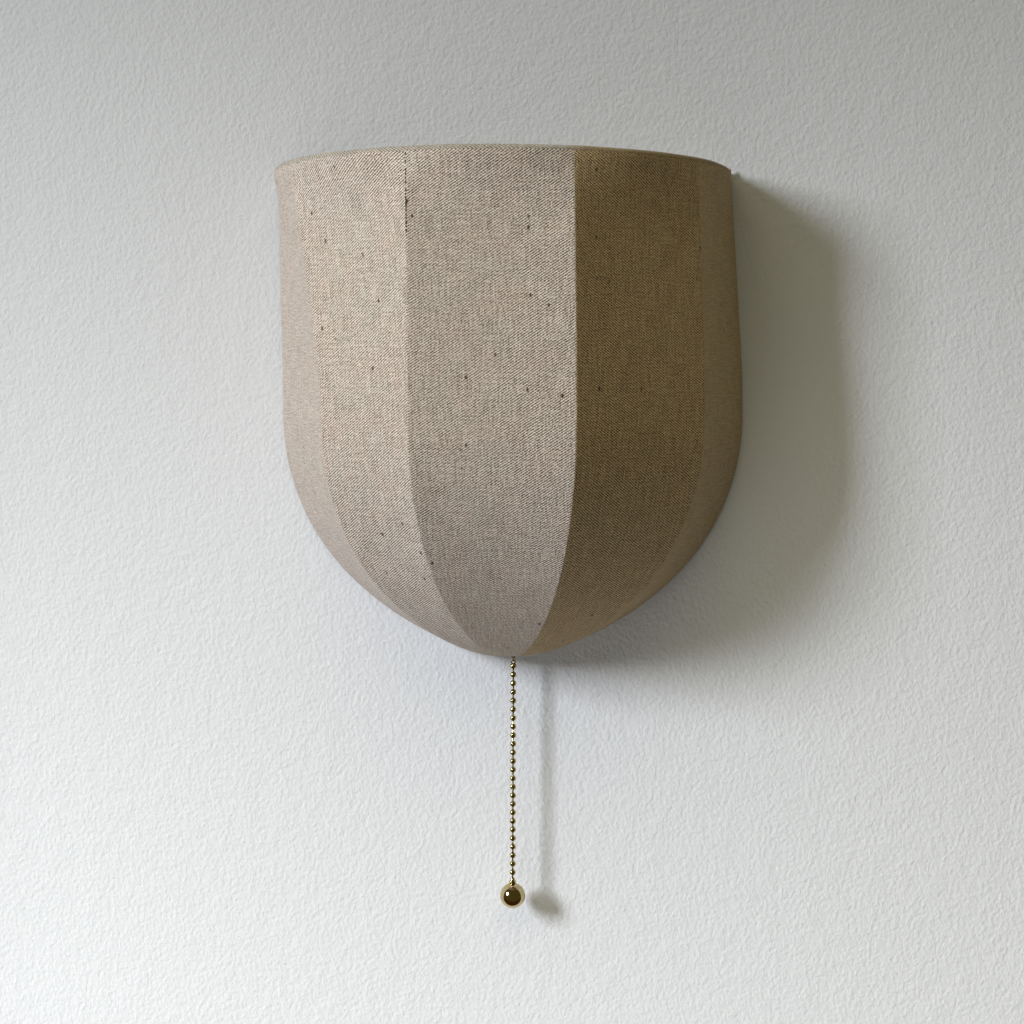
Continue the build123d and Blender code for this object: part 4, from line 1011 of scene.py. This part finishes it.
@dataclass(frozen=True)
class Gore:
    """One stretched panel of linen between two ribs."""

    number: int
    finish: Linen
    form: ShadeForm = FORM
    column_step: float = 3.0
    edge_columns: tuple[float, ...] = (0.0, 0.3, 0.65, 1.1, 1.8)  # distances from a rib
    full_width: float = 20.0  # narrower gores have these closer together
    still_border: float = 7.0  # depth of the border without unevenness
    map_step: float = 100.0  # between the gores on the cloth map

    def places_across(self, width: float, columns: int) -> list[float]:
        """Distances of the columns from the left rib.

        Args:
            width: the gore's width at this height.
            columns: how many columns lie between the two dense edges.

        Returns:
            The distances, from the left rib to the right one.
        """
        edge = [place * min(1.0, width / self.full_width) for place in self.edge_columns]
        inner = width - 2 * edge[-1]
        middle = [edge[-1] + inner * step / columns for step in range(1, columns)]
        return edge + middle + [width - place for place in reversed(edge)]

    def point(self, aside: float, width: float, down: float, z: float, length: float) -> Vector:
        """A point of the cloth's outer surface.

        Args:
            aside: distance from the left rib.
            width: the gore's width at this height.
            down: distance down the cloth.
            z: the height.
            length: the gore's whole length.

        Returns:
            The point's place.
        """
        form, index = self.form, self.number - 1
        left, right = form.corner(index, z), form.corner(index + 1, z)
        share = aside / width
        out = form.facing(index, z)
        r = (left - form.axis_at(z)).length
        off_middle = aside - width / 2
        arc = sqrt(r**2 - off_middle**2) - sqrt(r**2 - width**2 / 4)
        bow = arc * form.roundness(z) - form.drawn_in(z) * 4 * share * (1 - share)
        place = left.lerp(right, share) + out * bow
        held = 1 - form.roundness(z)
        place += form.rounding(index, index, aside, z) * held
        place += form.rounding(index, index + 1, width - aside, z) * held
        border = min(aside, width - aside, down, length - down) / self.still_border
        ease = min(1.0, max(0.0, border))
        return place + out * form.relief(place) * ease * ease * (3 - 2 * ease)

    def build(self, with_pieces: list[Thing]) -> Thing:
        """Lay the gore over its two ribs.

        Args:
            with_pieces: hems sewn to this gore; not used.

        Returns:
            The gore.
        """
        form, index = self.form, self.number - 1
        rows = form.levels()
        length = rows[-1][0]
        widths = [(form.corner(index + 1, z) - form.corner(index, z)).length for _, z in rows]
        columns = round(max(widths) / self.column_step)
        grid = [self.places_across(width, columns) for width in widths]

        def lay(column: int, row: int) -> tuple[Vector, Laid]:
            """A grid point's place, and its place on the flat cloth.

            Args:
                column: counted from the left rib.
                row: counted from the upper ring.

            Returns:
                Both places.
            """
            down, z = rows[row]
            aside, width = grid[row][column], widths[row]
            on_map = (aside - width / 2 + self.map_step * self.number, down)
            return self.point(aside, width, down, z, length), on_map

        shape = sheet_shape(len(grid[0]) - 1, len(rows) - 1, lay)
        face_out(shape, lambda point: point - form.axis_at(point.z))
        name = f"gore_{self.number}"
        piece = Piece(f"linen_{name}", "shade", "linen", self.finish, (name,))
        gore = piece.make(shape, form.cloth_t)
        return gore


@dataclass(frozen=True)
class RolledHem:
    """Cloth turned round one of the two ring wires."""

    name: str
    node: str
    ring_r: float
    ring_z: float
    start: float  # degrees round the wire where the roll leaves the gores
    turn: float  # degrees that it goes round the wire, negative under it
    lip: Laid | None = None
    ring_x: float = 0.0
    finish: Linen = HEM_LINEN
    form: ShadeForm = FORM
    section_steps: int = 18
    round_steps: int = 120
    calm_end: float = 10.0  # distance from the wall without unevenness
    relief_grain: float = 1.7  # of its unevenness, against the gores' own
    relief_share: float = 0.5
    map_place: float = 300.0

    def build(self) -> Thing:
        """Turn the hem's section round the ring and the ring round the shade.

        Returns:
            The hem.
        """
        form = self.form
        shape = bmesh.new()
        turn, start = radians(self.turn), radians(self.start)
        centre = Vector((self.ring_r, form.axis_y, self.ring_z))
        first = centre + Vector((form.roll_r * cos(start), 0, form.roll_r * sin(start)))
        section = arc_of_verts(shape, first, centre, turn, self.section_steps)
        if self.lip:
            shape.verts.ensure_lookup_table()
            edge = min(shape.verts, key=lambda vert: (vert.co - first).length)
            outer = shape.verts.new((self.lip[0], form.axis_y, self.lip[1]))
            section += [outer, shape.edges.new((outer, edge))]
        bmesh.ops.spin(
            shape,
            geom=section,
            cent=(0, form.axis_y, 0),
            axis=(0, 0, -1),
            angle=pi,
            steps=self.round_steps,
            use_merge=False,
        )
        bmesh.ops.remove_doubles(shape, verts=shape.verts, dist=TOUCHING)
        middle = Vector((self.ring_x, form.axis_y, self.ring_z))
        shift(shape, (self.ring_x, 0, 0))

        def outward(point: Vector) -> Vector:
            """The level direction from the ring's middle to a point."""
            return Vector((point.x - middle.x, point.y - middle.y, 0)).normalized()

        def from_wire(point: Vector) -> Vector:
            """The direction away from the ring wire's middle line."""
            return point - middle - outward(point) * self.ring_r

        def flat(vert: Vert) -> Laid:
            """A vertex's place on the flat strip.

            Args:
                vert: the vertex.

            Returns:
                Its place along the ring and round the wire.
            """
            side = atan2(middle.y - vert.co.y, middle.x - vert.co.x)
            away = from_wire(vert.co)
            round_wire = atan2(away.z, away.dot(outward(vert.co)))
            return side * self.ring_r, round_wire * form.roll_r + self.map_place

        for vert in shape.verts:
            calm = min(1.0, abs(vert.co.y - form.axis_y) / self.calm_end)
            relief = form.relief(vert.co * self.relief_grain)
            vert.co += from_wire(vert.co).normalized() * relief * self.relief_share * calm
        write_map(shape, flat)
        face_out(shape, from_wire)
        piece = Piece(self.name, "shade", "hem_linen", self.finish, (self.node,))
        return piece.make(shape, form.cloth_t)


class WallSide(Enum):
    """The two edges of the shade that lie along the wall."""

    LEFT = -1.0
    RIGHT = 1.0


@dataclass(frozen=True)
class SideHem:
    """Cloth turned round the wall side of a rib that stands against the wall."""

    side: WallSide
    form: ShadeForm = FORM
    inset: float = 2.2
    columns: int = 14

    def build(self) -> Thing:
        """Sweep the turned edge down the rib.

        Returns:
            The hem.
        """
        form, name = self.form, self.side.name.lower()
        rib = 0 if self.side is WallSide.LEFT else form.last_rib
        rows = form.levels()
        depth = form.rib_wire_r + form.cloth_t

        def lay(column: int, row: int) -> tuple[Vector, Laid]:
            """A grid point's place, and its place on the flat strip.

            Args:
                column: counted round the rib from the gore.
                row: counted from the upper ring.

            Returns:
                Both places.
            """
            down, z = rows[row]
            slope = form.slope_at(z)
            inward = Vector((-self.side.value * sin(slope), 0, cos(slope)))
            turn = pi * column / self.columns
            place = form.corner(rib, z) + inward * self.inset * (1 - cos(turn))
            place.y += depth * sin(turn)
            return place, (turn * self.inset, down)

        shape = sheet_shape(self.columns, len(rows) - 1, lay)
        face_out(shape, lambda point: Vector((0, 1, 0)))
        piece = Piece(f"turned_edge_{name}", "shade", "hem_linen", HEM_LINEN, (f"side_hem_{name}",))
        return piece.make(shape, form.cloth_t)


@dataclass(frozen=True)
class CornerFolds:
    """The closed ends of the upper roll at the wall, and a tuft of cloth on the right one."""

    form: ShadeForm = FORM
    tuft_size: Vector = Vector((1.1, 0.8, 1.6))
    tuft_place: Vector = Vector((1.2, -3.0, -0.2))  # from the ring's end, the wall and the top
    end_depth: float = 0.72
    crease: float = 0.12
    crease_grain: float = 1.3

    def lump(self, shape: Shape, centre: Vector, size: Vector) -> None:
        """Add a small rounded fold.

        Args:
            shape: the shape to add to.
            centre: the fold's middle.
            size: its half sizes.
        """
        fold = bmesh.new()
        bmesh.ops.create_uvsphere(fold, u_segments=20, v_segments=12, radius=1.0)
        bmesh.ops.scale(fold, vec=size, verts=fold.verts)
        for vert in fold.verts:
            vert.co *= 1 + self.crease * noise.noise(vert.co * self.crease_grain + centre)
        shift(fold, centre)
        join(shape, fold)

    def build(self) -> Thing:
        """Close both ends of the roll.

        Returns:
            The folds.
        """
        form, shape = self.form, bmesh.new()
        for side in WallSide:
            end_x = form.top_shift + side.value * form.top_ring_r
            size = Vector((form.roll_r, self.end_depth, form.roll_r))
            self.lump(shape, Vector((end_x, form.axis_y, form.top_ring_z)), size)
        corner = Vector((form.top_shift + form.top_ring_r, 0, form.top_z))
        self.lump(shape, corner + self.tuft_place, self.tuft_size)
        write_map(shape, lambda vert: (vert.co.x + vert.co.y, vert.co.z))
        return Piece("corner_folds", "shade", "hem_linen", HEM_LINEN).make(shape)


@dataclass(frozen=True)
class SeamStitches:
    """A short row of dark stitches that shows at the top of the third rib."""

    form: ShadeForm = FORM
    rib: int = 2
    count: int = 20
    pitch: float = 1.75
    first_drop: float = 1.2
    size: Vector = Vector((0.36, 0.30, 0.72))
    sway_grain: float = 0.83  # of the noise that each stitch's sway comes from
    swell: float = 1.1  # what a whole sway adds to a stitch's size
    tilt: float = 0.5  # and how far it turns the stitch, in radians
    drift: float = 0.3  # and moves it along the wall
    sunk: float = 0.05  # into the ridge
    missing_below: float = -0.28  # sway at which a stitch is hidden in the cloth

    def build(self) -> Thing:
        """Set the stitches on the rib's ridge.

        Returns:
            The stitches.
        """
        form, shape = self.form, bmesh.new()
        for stitch in range(self.count):
            z = form.top_ring_z - self.first_drop - stitch * self.pitch
            place = form.corner(self.rib, z)
            sway = noise.noise(Vector((0, 0, z * self.sway_grain)))
            if sway < self.missing_below:
                continue
            bead = bmesh.new()
            bmesh.ops.create_uvsphere(bead, u_segments=10, v_segments=6, radius=1.0)
            size = self.size * (1.0 + self.swell * sway)
            bmesh.ops.scale(bead, vec=size, verts=bead.verts)
            turned(bead, Matrix.Rotation(self.tilt * sway, 3, "Y"))
            shift(bead, place + Vector((self.drift * sway, self.sunk, 0)))
            join(shape, bead)
        return Piece("seam_stitches", "shade", "hem_linen", SEAM_THREAD).make(shape)


class Shade:
    """The linen skin, from hem to hem."""

    def build(self) -> None:
        """Make the hems, then the gores that they are sewn to."""
        form = FORM
        ring = (form.top_ring_r, form.top_ring_z)
        # painted shade: the upper roll takes the darker roll linen
        upper = RolledHem(
            "upper_roll", "top_hem", *ring, 0.0, 205.0, ring_x=form.top_shift, finish=ROLL_LINEN_PAINTED_SHADE
        )
        ring = (form.foot_ring_r, form.foot_ring_z)
        lip = (form.radius_at(form.end_z), form.end_z)
        lower = RolledHem("lower_roll", "foot_hem", *ring, form.foot_slope - 90, -190.0, lip)
        top, foot = upper.build(), lower.build()
        left, right = SideHem(WallSide.LEFT).build(), SideHem(WallSide.RIGHT).build()
        folds, stitches = CornerFolds().build(), SeamStitches().build()
        # painted shade: the fourth and fifth gores take the shaded copies of the linen
        finishes = {1: LINEN, 2: LINEN, 3: LINEN, 4: LINEN_FALLING_PAINTED_SHADE, 5: LINEN_SIDE_PAINTED_SHADE}
        sewn = {1: [left], 2: [stitches], 3: [top, foot], 4: [], 5: [right, folds]}
        for number, hems in sewn.items():
            Gore(number, finishes[number]).build(hems)


# ---------------------------------------------------------------- the pull chain


@dataclass(frozen=True)
class PullChain:
    """Bead chain, its rings, its end cap and its ball."""

    bead_r: float = 1.6
    hole_r: float = 0.55
    hole_depth: float = 0.25
    hole_lip: float = 0.9  # share of its radius at the inner end
    bead_steps: int = 12  # from hole to hole
    bead_sides: int = 22
    pitch: float = 4.37
    count: int = 25
    first_z: float = -114.6
    wire_r: float = 0.42
    loop_r: float = 0.95
    loop_wire_r: float = 0.35
    loop_rise: float = 0.6
    link_r: float = 1.3
    link_gap: float = 0.05
    stem_end_z: float = -53.8
    cap_length: float = 4.4
    cap_drop: float = 1.3  # bare wire under the last bead
    cap_top_r: float = 1.15
    cap_r: float = 1.8
    cap_edge: float = 0.25
    cap_ease: float = 0.15
    cap_drops: tuple[float, ...] = (0.9, 1.1, 1.5, 1.8)  # of its shoulder's corners
    ball_r: float = 6.35
    ball_seat: float = 0.4

    def bead(self) -> Shape:
        """One hollow bead with a drawn-in hole at each end.

        Returns:
            The bead's shape, about the origin.
        """
        tilt = acos(self.hole_r / self.bead_r)
        steps = self.bead_steps
        turns = [tilt - 2 * tilt * step / steps for step in range(steps + 1)]
        inner = self.bead_r * sin(tilt) - self.hole_depth
        points = [(self.bead_r * cos(turn), self.bead_r * sin(turn)) for turn in turns]
        lip_r = self.hole_r * self.hole_lip
        return spun([(lip_r, inner), *points, (lip_r, -inner)], self.bead_sides)

    def piece(self, name: str, body: str, node: str) -> Piece:
        """A piece of polished brass that stands for a frame node."""
        return Piece(name, body, "polished_brass", POLISHED_BRASS, (node,))

    def wire(self, shape: Shape, top: float, bottom: float) -> None:
        """Add a straight stretch of the chain's link wire.

        Args:
            shape: the shape to add to.
            top: its upper end.
            bottom: its lower end.
        """
        rod, radii = bmesh.new(), {"radius1": self.wire_r, "radius2": self.wire_r}
        bmesh.ops.create_cone(rod, cap_ends=True, segments=12, depth=top - bottom, **radii)
        shift(rod, (0, 0, (top + bottom) / 2))
        join(shape, rod)

    def run(self, piece: Piece, top_z: float, count: int, loop_z: float, wire_z: float) -> None:
        """Make a run of beads with a wire loop at the end that meets the other run.

        Args:
            piece: what the run is called and rides on.
            top_z: the highest bead.
            count: how many beads.
            loop_z: the loop's middle.
            wire_z: the end of the wire that has no loop.
        """
        shape = bmesh.new()
        for number in range(count):
            bead = self.bead()
            shift(bead, (0, 0, top_z - number * self.pitch))
            join(shape, bead)
        bottom_z = top_z - (count - 1) * self.pitch
        self.wire(shape, max(wire_z, top_z), min(bottom_z, wire_z))
        across = Matrix.Rotation(pi / 2, 3, "X")
        torus(shape, Vector((0, 0, loop_z)), across, self.loop_r, self.loop_wire_r)
        shift(shape, (*CHAIN_AXIS, 0))
        piece.make(shape)

    def build(self) -> None:
        """Make both runs, the ring between them, the cap and the ball."""
        lower_loop = self.first_z + self.bead_r + self.loop_rise
        step = self.loop_wire_r * 2 + self.link_gap
        ring_z = lower_loop + self.loop_r - step + self.link_r
        upper_loop = ring_z + self.link_r - step + self.loop_r
        lowest = upper_loop + self.loop_rise + self.bead_r
        above = int((self.stem_end_z - self.bead_r - lowest) / self.pitch) + 1
        top = lowest + (above - 1) * self.pitch
        upper = self.piece("upper_beads", "pull", "upper_chain")
        self.run(upper, top, above, upper_loop, self.stem_end_z)
        lower = self.piece("hanging_beads", "chain", "pull_chain")
        low_end = self.first_z - (self.count - 1) * self.pitch - self.bead_r
        self.run(lower, self.first_z, self.count, lower_loop, low_end - self.cap_drop)
        link, endways = bmesh.new(), Matrix.Rotation(pi / 2, 3, "Y")
        torus(link, Vector((*CHAIN_AXIS, ring_z)), endways, self.link_r, self.loop_wire_r)
        self.piece("chain_ring", "chain_link", "jump_ring").make(link)
        self.end_pieces(low_end)

    def end_pieces(self, top: float) -> None:
        """Make the end cap and the ball under it.

        Args:
            top: height of the cap's upper face.
        """
        low, neck = top - self.cap_length, top - self.cap_drop
        edge, ease = self.cap_edge, self.cap_ease
        first, second, third, fourth = (neck - drop for drop in self.cap_drops)
        cap = spun(
            [
                (0.0, neck),
                (self.cap_top_r - edge, neck),
                (self.cap_top_r, neck - edge),
                (self.cap_top_r, first),
                (self.cap_top_r + ease, second),
                (self.cap_r - ease, third),
                (self.cap_r, fourth),
                (self.cap_r, low + edge),
                (self.cap_r - edge, low),
                (0.0, low),
            ],
            steps=32,
        )
        shift(cap, (*CHAIN_AXIS, 0))
        self.piece("crimped_cap", "chain", "chain_end_cap").make(smooth(cap))
        ball = bmesh.new()
        bmesh.ops.create_uvsphere(ball, u_segments=72, v_segments=48, radius=self.ball_r)
        shift(ball, (*CHAIN_AXIS, low + self.ball_seat - self.ball_r))
        self.piece("brass_ball", "chain", "pull_ball").make(smooth(ball))


# ---------------------------------------------------------------- the rest of the light


@dataclass(frozen=True)
class ReturnSpring:
    """The pull switch's coil spring, which the plunger presses flat on the switch's floor."""

    floor_z: float = -43.3
    flange_z: float = -33.3
    coil_r: float = 2.7
    wire_r: float = 0.4
    gap: float = 0.02
    turns: int = 4
    steps: int = 24  # to a turn
    travel: float = 6.0

    def build(self) -> None:
        """Wind the wire from the switch's floor up to the flange."""
        low = self.floor_z + self.wire_r + self.gap
        rise = self.flange_z - self.wire_r - self.gap - low
        coil = wire_section(self.wire_r, self.coil_r, low, sides=12)
        revolve(coil, self.turns * self.steps, self.turns, rise)
        bmesh.ops.holes_fill(coil, edges=[edge for edge in coil.edges if edge.is_boundary])
        bmesh.ops.recalc_face_normals(coil, faces=coil.faces)
        shift(coil, (*CHAIN_AXIS, 0))
        for face in coil.faces:
            face.smooth = len(face.verts) == 4
        steel = SLOT_FINISHES["spring_steel"]
        spring = Piece("coil_spring", "pull", "spring_steel", steel, ("return_spring",)).make(coil)
        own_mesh(spring)


class Fittings:
    """The pieces that keep their shape from the frame and get a finish here."""

    def build(self) -> None:
        """Give each frame piece the finish of its slot."""
        for name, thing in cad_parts.items():
            if thing.hide_render:
                continue
            given = [slot.material.name for slot in thing.material_slots if slot.material]
            labels = [label.split(".")[0] for label in given]
            found = next((label for label in labels if label in SLOT_FINISHES), None)
            if found is None:
                log.warning("%s has no finish: %s", name, labels)
                continue
            for slot in thing.material_slots:
                slot.material = SLOT_FINISHES[found].material()
            log.info("%s: %s", name, found)


# ---------------------------------------------------------------- studio


@dataclass(frozen=True)
class SoftLight:
    """A rectangular area light that looks at the light fitting, in metres and watts."""

    name: str
    way: Triple  # from the fitting towards the light
    far: float
    size: Laid
    power: float
    colour: Colour
    mirrored: bool = True  # whether polished metal shows it

    def place(self) -> None:
        """Put the light in the room."""
        lamp = bpy.data.lights.new(self.name, "AREA")
        lamp.shape = "RECTANGLE"
        lamp.size, lamp.size_y = self.size
        lamp.energy = self.power
        lamp.color = self.colour
        thing = put(self.name, lamp)
        way = Vector(self.way).normalized()
        turn = way.to_track_quat("Z", "Y").to_matrix().to_4x4()
        thing.matrix_world = Matrix.Translation(way * self.far) @ turn
        thing.visible_glossy = self.mirrored


WINDOW = SoftLight("window", (-0.745, -0.63, 0.33), 2.4, (0.48, 0.8), 67.5, (0.862, 0.912, 1.0))
CEILING = SoftLight("ceiling", (-0.1, -0.6, 0.8), 1.8, (2.0, 1.6), 16.2, (1.0, 0.92, 0.60), False)
SILL = SoftLight("sill", (-0.55, -0.62, -0.56), 1.7, (1.4, 1.4), 5.6, (0.96, 0.95, 0.95), False)


@dataclass(frozen=True)
class Studio:
    """Wall, floor, light and camera, in metres."""

    camera_place: Triple = (0.0644, -0.8742, 0.0309)
    pan: float = 4.17  # degrees towards -X
    tilt: float = 4.53  # degrees down
    roll: float = 0.16
    lens: float = 61.42
    wall_y: float = 0.0006
    wall_size: float = 5.0
    floor_z: float = -1.75
    wall_colour: Colour = (0.62, 0.62, 0.62)
    # painted light: the wall paint brightens towards the bottom and darkens far to the left, for
    # how the light falls on the wall
    wall_painted_light: tuple[Laid, Laid] = ((0.215, 0.60), (-0.30, 1.40))  # height and brightness
    wall_side: tuple[Laid, Laid] = ((-1.10, 0.42), (-0.24, 1.0))  # the same to the picture's left
    wall_grain: Laid = (520.0, 90.0)  # of the fine and the coarse marks
    grain_run: Triple = (1.0, 1.0, 0.85)  # a little longer up the wall
    coarse_share: float = 0.8
    grain_depth: float = 0.0008
    lights: tuple[SoftLight, ...] = (WINDOW, CEILING, SILL)
    card_colour: Colour = (0.022, 0.020, 0.014)
    mirrored_colour: Colour = (0.080, 0.068, 0.025)
    boards_colour: Colour = (0.060, 0.024, 0.009)
    room_colour: Colour = (0.055, 0.050, 0.022)
    room_far: float = 1.75
    room_z: float = 0.2
    boards_rise: float = 0.02  # over the floor
    room_size: float = 25.0  # as polished metal shows it
    pale: float = 0.82

    def wall_material(self) -> Material:
        """Matt wall paint with a roller's fine grain and painted light, brighter down the wall and
        darker far to the left, clear from behind.

        Returns:
            The wall's material.
        """
        nodes = Nodes(bpy.data.materials.new("wall paint"))
        place = nodes.where()
        fine, coarse = self.wall_grain
        grain = nodes.cloud(nodes.scaled(place, self.grain_run), fine, roughness=0.55)
        rolled = nodes.cloud(place, coarse, detail=3.0)
        lumps = nodes.sum("MULTIPLY", rolled, self.coarse_share)
        marks = nodes.sum("ADD", grain, lumps)
        # painted light: brighter down the wall, darker far to the left
        (high, dim), (low, bright) = self.wall_painted_light
        (far_off, deep), (near, full) = self.wall_side
        across, _, up = nodes.split(place)
        painted_light = nodes.span(up, low, high, bright, dim)
        painted_light = nodes.sum("MULTIPLY", painted_light, nodes.span(across, far_off, near, deep, full))
        sockets = {
            "Base Color": nodes.tinted(self.wall_colour, painted_light),
            "Roughness": 0.9,
            "Specular IOR Level": 0.15,
            "Normal": nodes.bump(marks, self.grain_depth, strength=0.6),
        }
        front = nodes.add("BsdfPrincipled", sockets).outputs[0]
        clear = nodes.add("BsdfTransparent").outputs[0]
        behind = nodes.add("NewGeometry").outputs["Backfacing"]
        return nodes.close(nodes.add("MixShader", {0: behind, 1: front, 2: clear}))

    def flat_sheet(self, name: str, size: float, material: Material, place: Matrix) -> Thing:
        """A large flat stage piece.

        Args:
            name: its name.
            size: its half size.
            material: its material.
            place: where it goes.

        Returns:
            The stage piece.
        """
        shape = bmesh.new()
        bmesh.ops.create_grid(shape, x_segments=1, y_segments=1, size=size)
        bmesh.ops.transform(shape, matrix=place, verts=shape.verts)
        thing = put_mesh(name, shape, material)
        return thing

    def set_stage(self) -> None:
        """Stand the wall up, lay the floor and set what the metal shows of the room."""
        upright = Matrix.Translation((0, self.wall_y, 0)) @ Matrix.Rotation(pi / 2, 4, "X")
        self.flat_sheet("wall", self.wall_size, self.wall_material(), upright)
        floor = Coating("floor paint", (0.74, 0.73, 0.71), roughness=0.8, grain=200.0)
        down = Matrix.Translation((0, -self.wall_size, self.floor_z))
        ground = self.flat_sheet("floor", self.wall_size, floor.material(), down)
        ground.visible_camera = False
        ground.visible_glossy = False
        facing = Matrix.Rotation(-pi / 2, 4, "X")
        back = Matrix.Translation((0, -self.room_far, self.room_z)) @ facing
        room = self.card("room_side", self.wall_size, self.card_colour, back)
        room.visible_glossy = False
        mirrored = self.card("mirrored_room", self.room_size, self.mirrored_colour, back)
        mirrored.visible_diffuse = False
        above = Matrix.Translation((0, -self.wall_size, self.floor_z + self.boards_rise))
        boards = self.card("mirrored_boards", self.wall_size, self.boards_colour, above)
        boards.visible_diffuse = False

    def card(self, name: str, size: float, colour: Colour, place: Matrix) -> Thing:
        """A dim card that the camera doesn't see.

        Args:
            name: its name.
            size: its half size.
            colour: how it glows.
            place: where it goes.

        Returns:
            The card.
        """
        nodes = Nodes(bpy.data.materials.new(name))
        glow = nodes.close(nodes.add("Emission", {"Color": colour, "Strength": 1.0}))
        card = self.flat_sheet(name, size, glow, place)
        card.visible_camera = False
        card.visible_shadow = False
        return card

    def set_world(self) -> None:
        """Fill the room with a dim warm light, pale where it is seen."""
        world = bpy.data.worlds.new("room")
        bpy.context.scene.world = world
        nodes = Nodes(world)
        rays = nodes.add("LightPath").outputs
        seen = rays["Is Camera Ray"]
        for name in ("Is Glossy Ray", "Is Transmission Ray"):
            seen = nodes.sum("MAXIMUM", seen, rays[name])
        colour = nodes.mix(seen, self.room_colour, (self.pale,) * 3)
        background = nodes.add("Background", {0: colour})
        nodes.add("OutputWorld", {0: background.outputs[0]})

    def set_camera(self) -> None:
        """Place the camera as the photograph was taken."""
        camera = bpy.data.cameras.new("camera")
        camera.lens = self.lens
        camera.sensor_width = 36.0
        thing = put("camera", camera)
        pan, tilt = radians(self.pan), radians(self.tilt)
        forward = Vector((-sin(pan) * cos(tilt), cos(pan) * cos(tilt), -sin(tilt)))
        look = forward.to_track_quat("-Z", "Y").to_matrix().to_4x4()
        roll = Matrix.Rotation(radians(self.roll), 4, "Z")
        thing.matrix_world = Matrix.Translation(self.camera_place) @ look @ roll
        bpy.context.scene.camera = thing

    def build(self) -> None:
        """Set the stage, the light and the camera."""
        self.set_stage()
        self.set_world()
        for light in self.lights:
            light.place()
        self.set_camera()
        bpy.context.scene.view_settings.view_transform = "Standard"


# ---------------------------------------------------------------- main


def main() -> None:
    """Build the light from its skin inwards, then the studio."""
    logging.basicConfig(level=logging.INFO, format="%(name)s: %(message)s")
    for assembly in (Shade(), PullChain(), ReturnSpring(), Fittings(), Studio()):
        log.info("building %s", type(assembly).__name__)
        assembly.build()


if __name__ == "__main__":
    main()
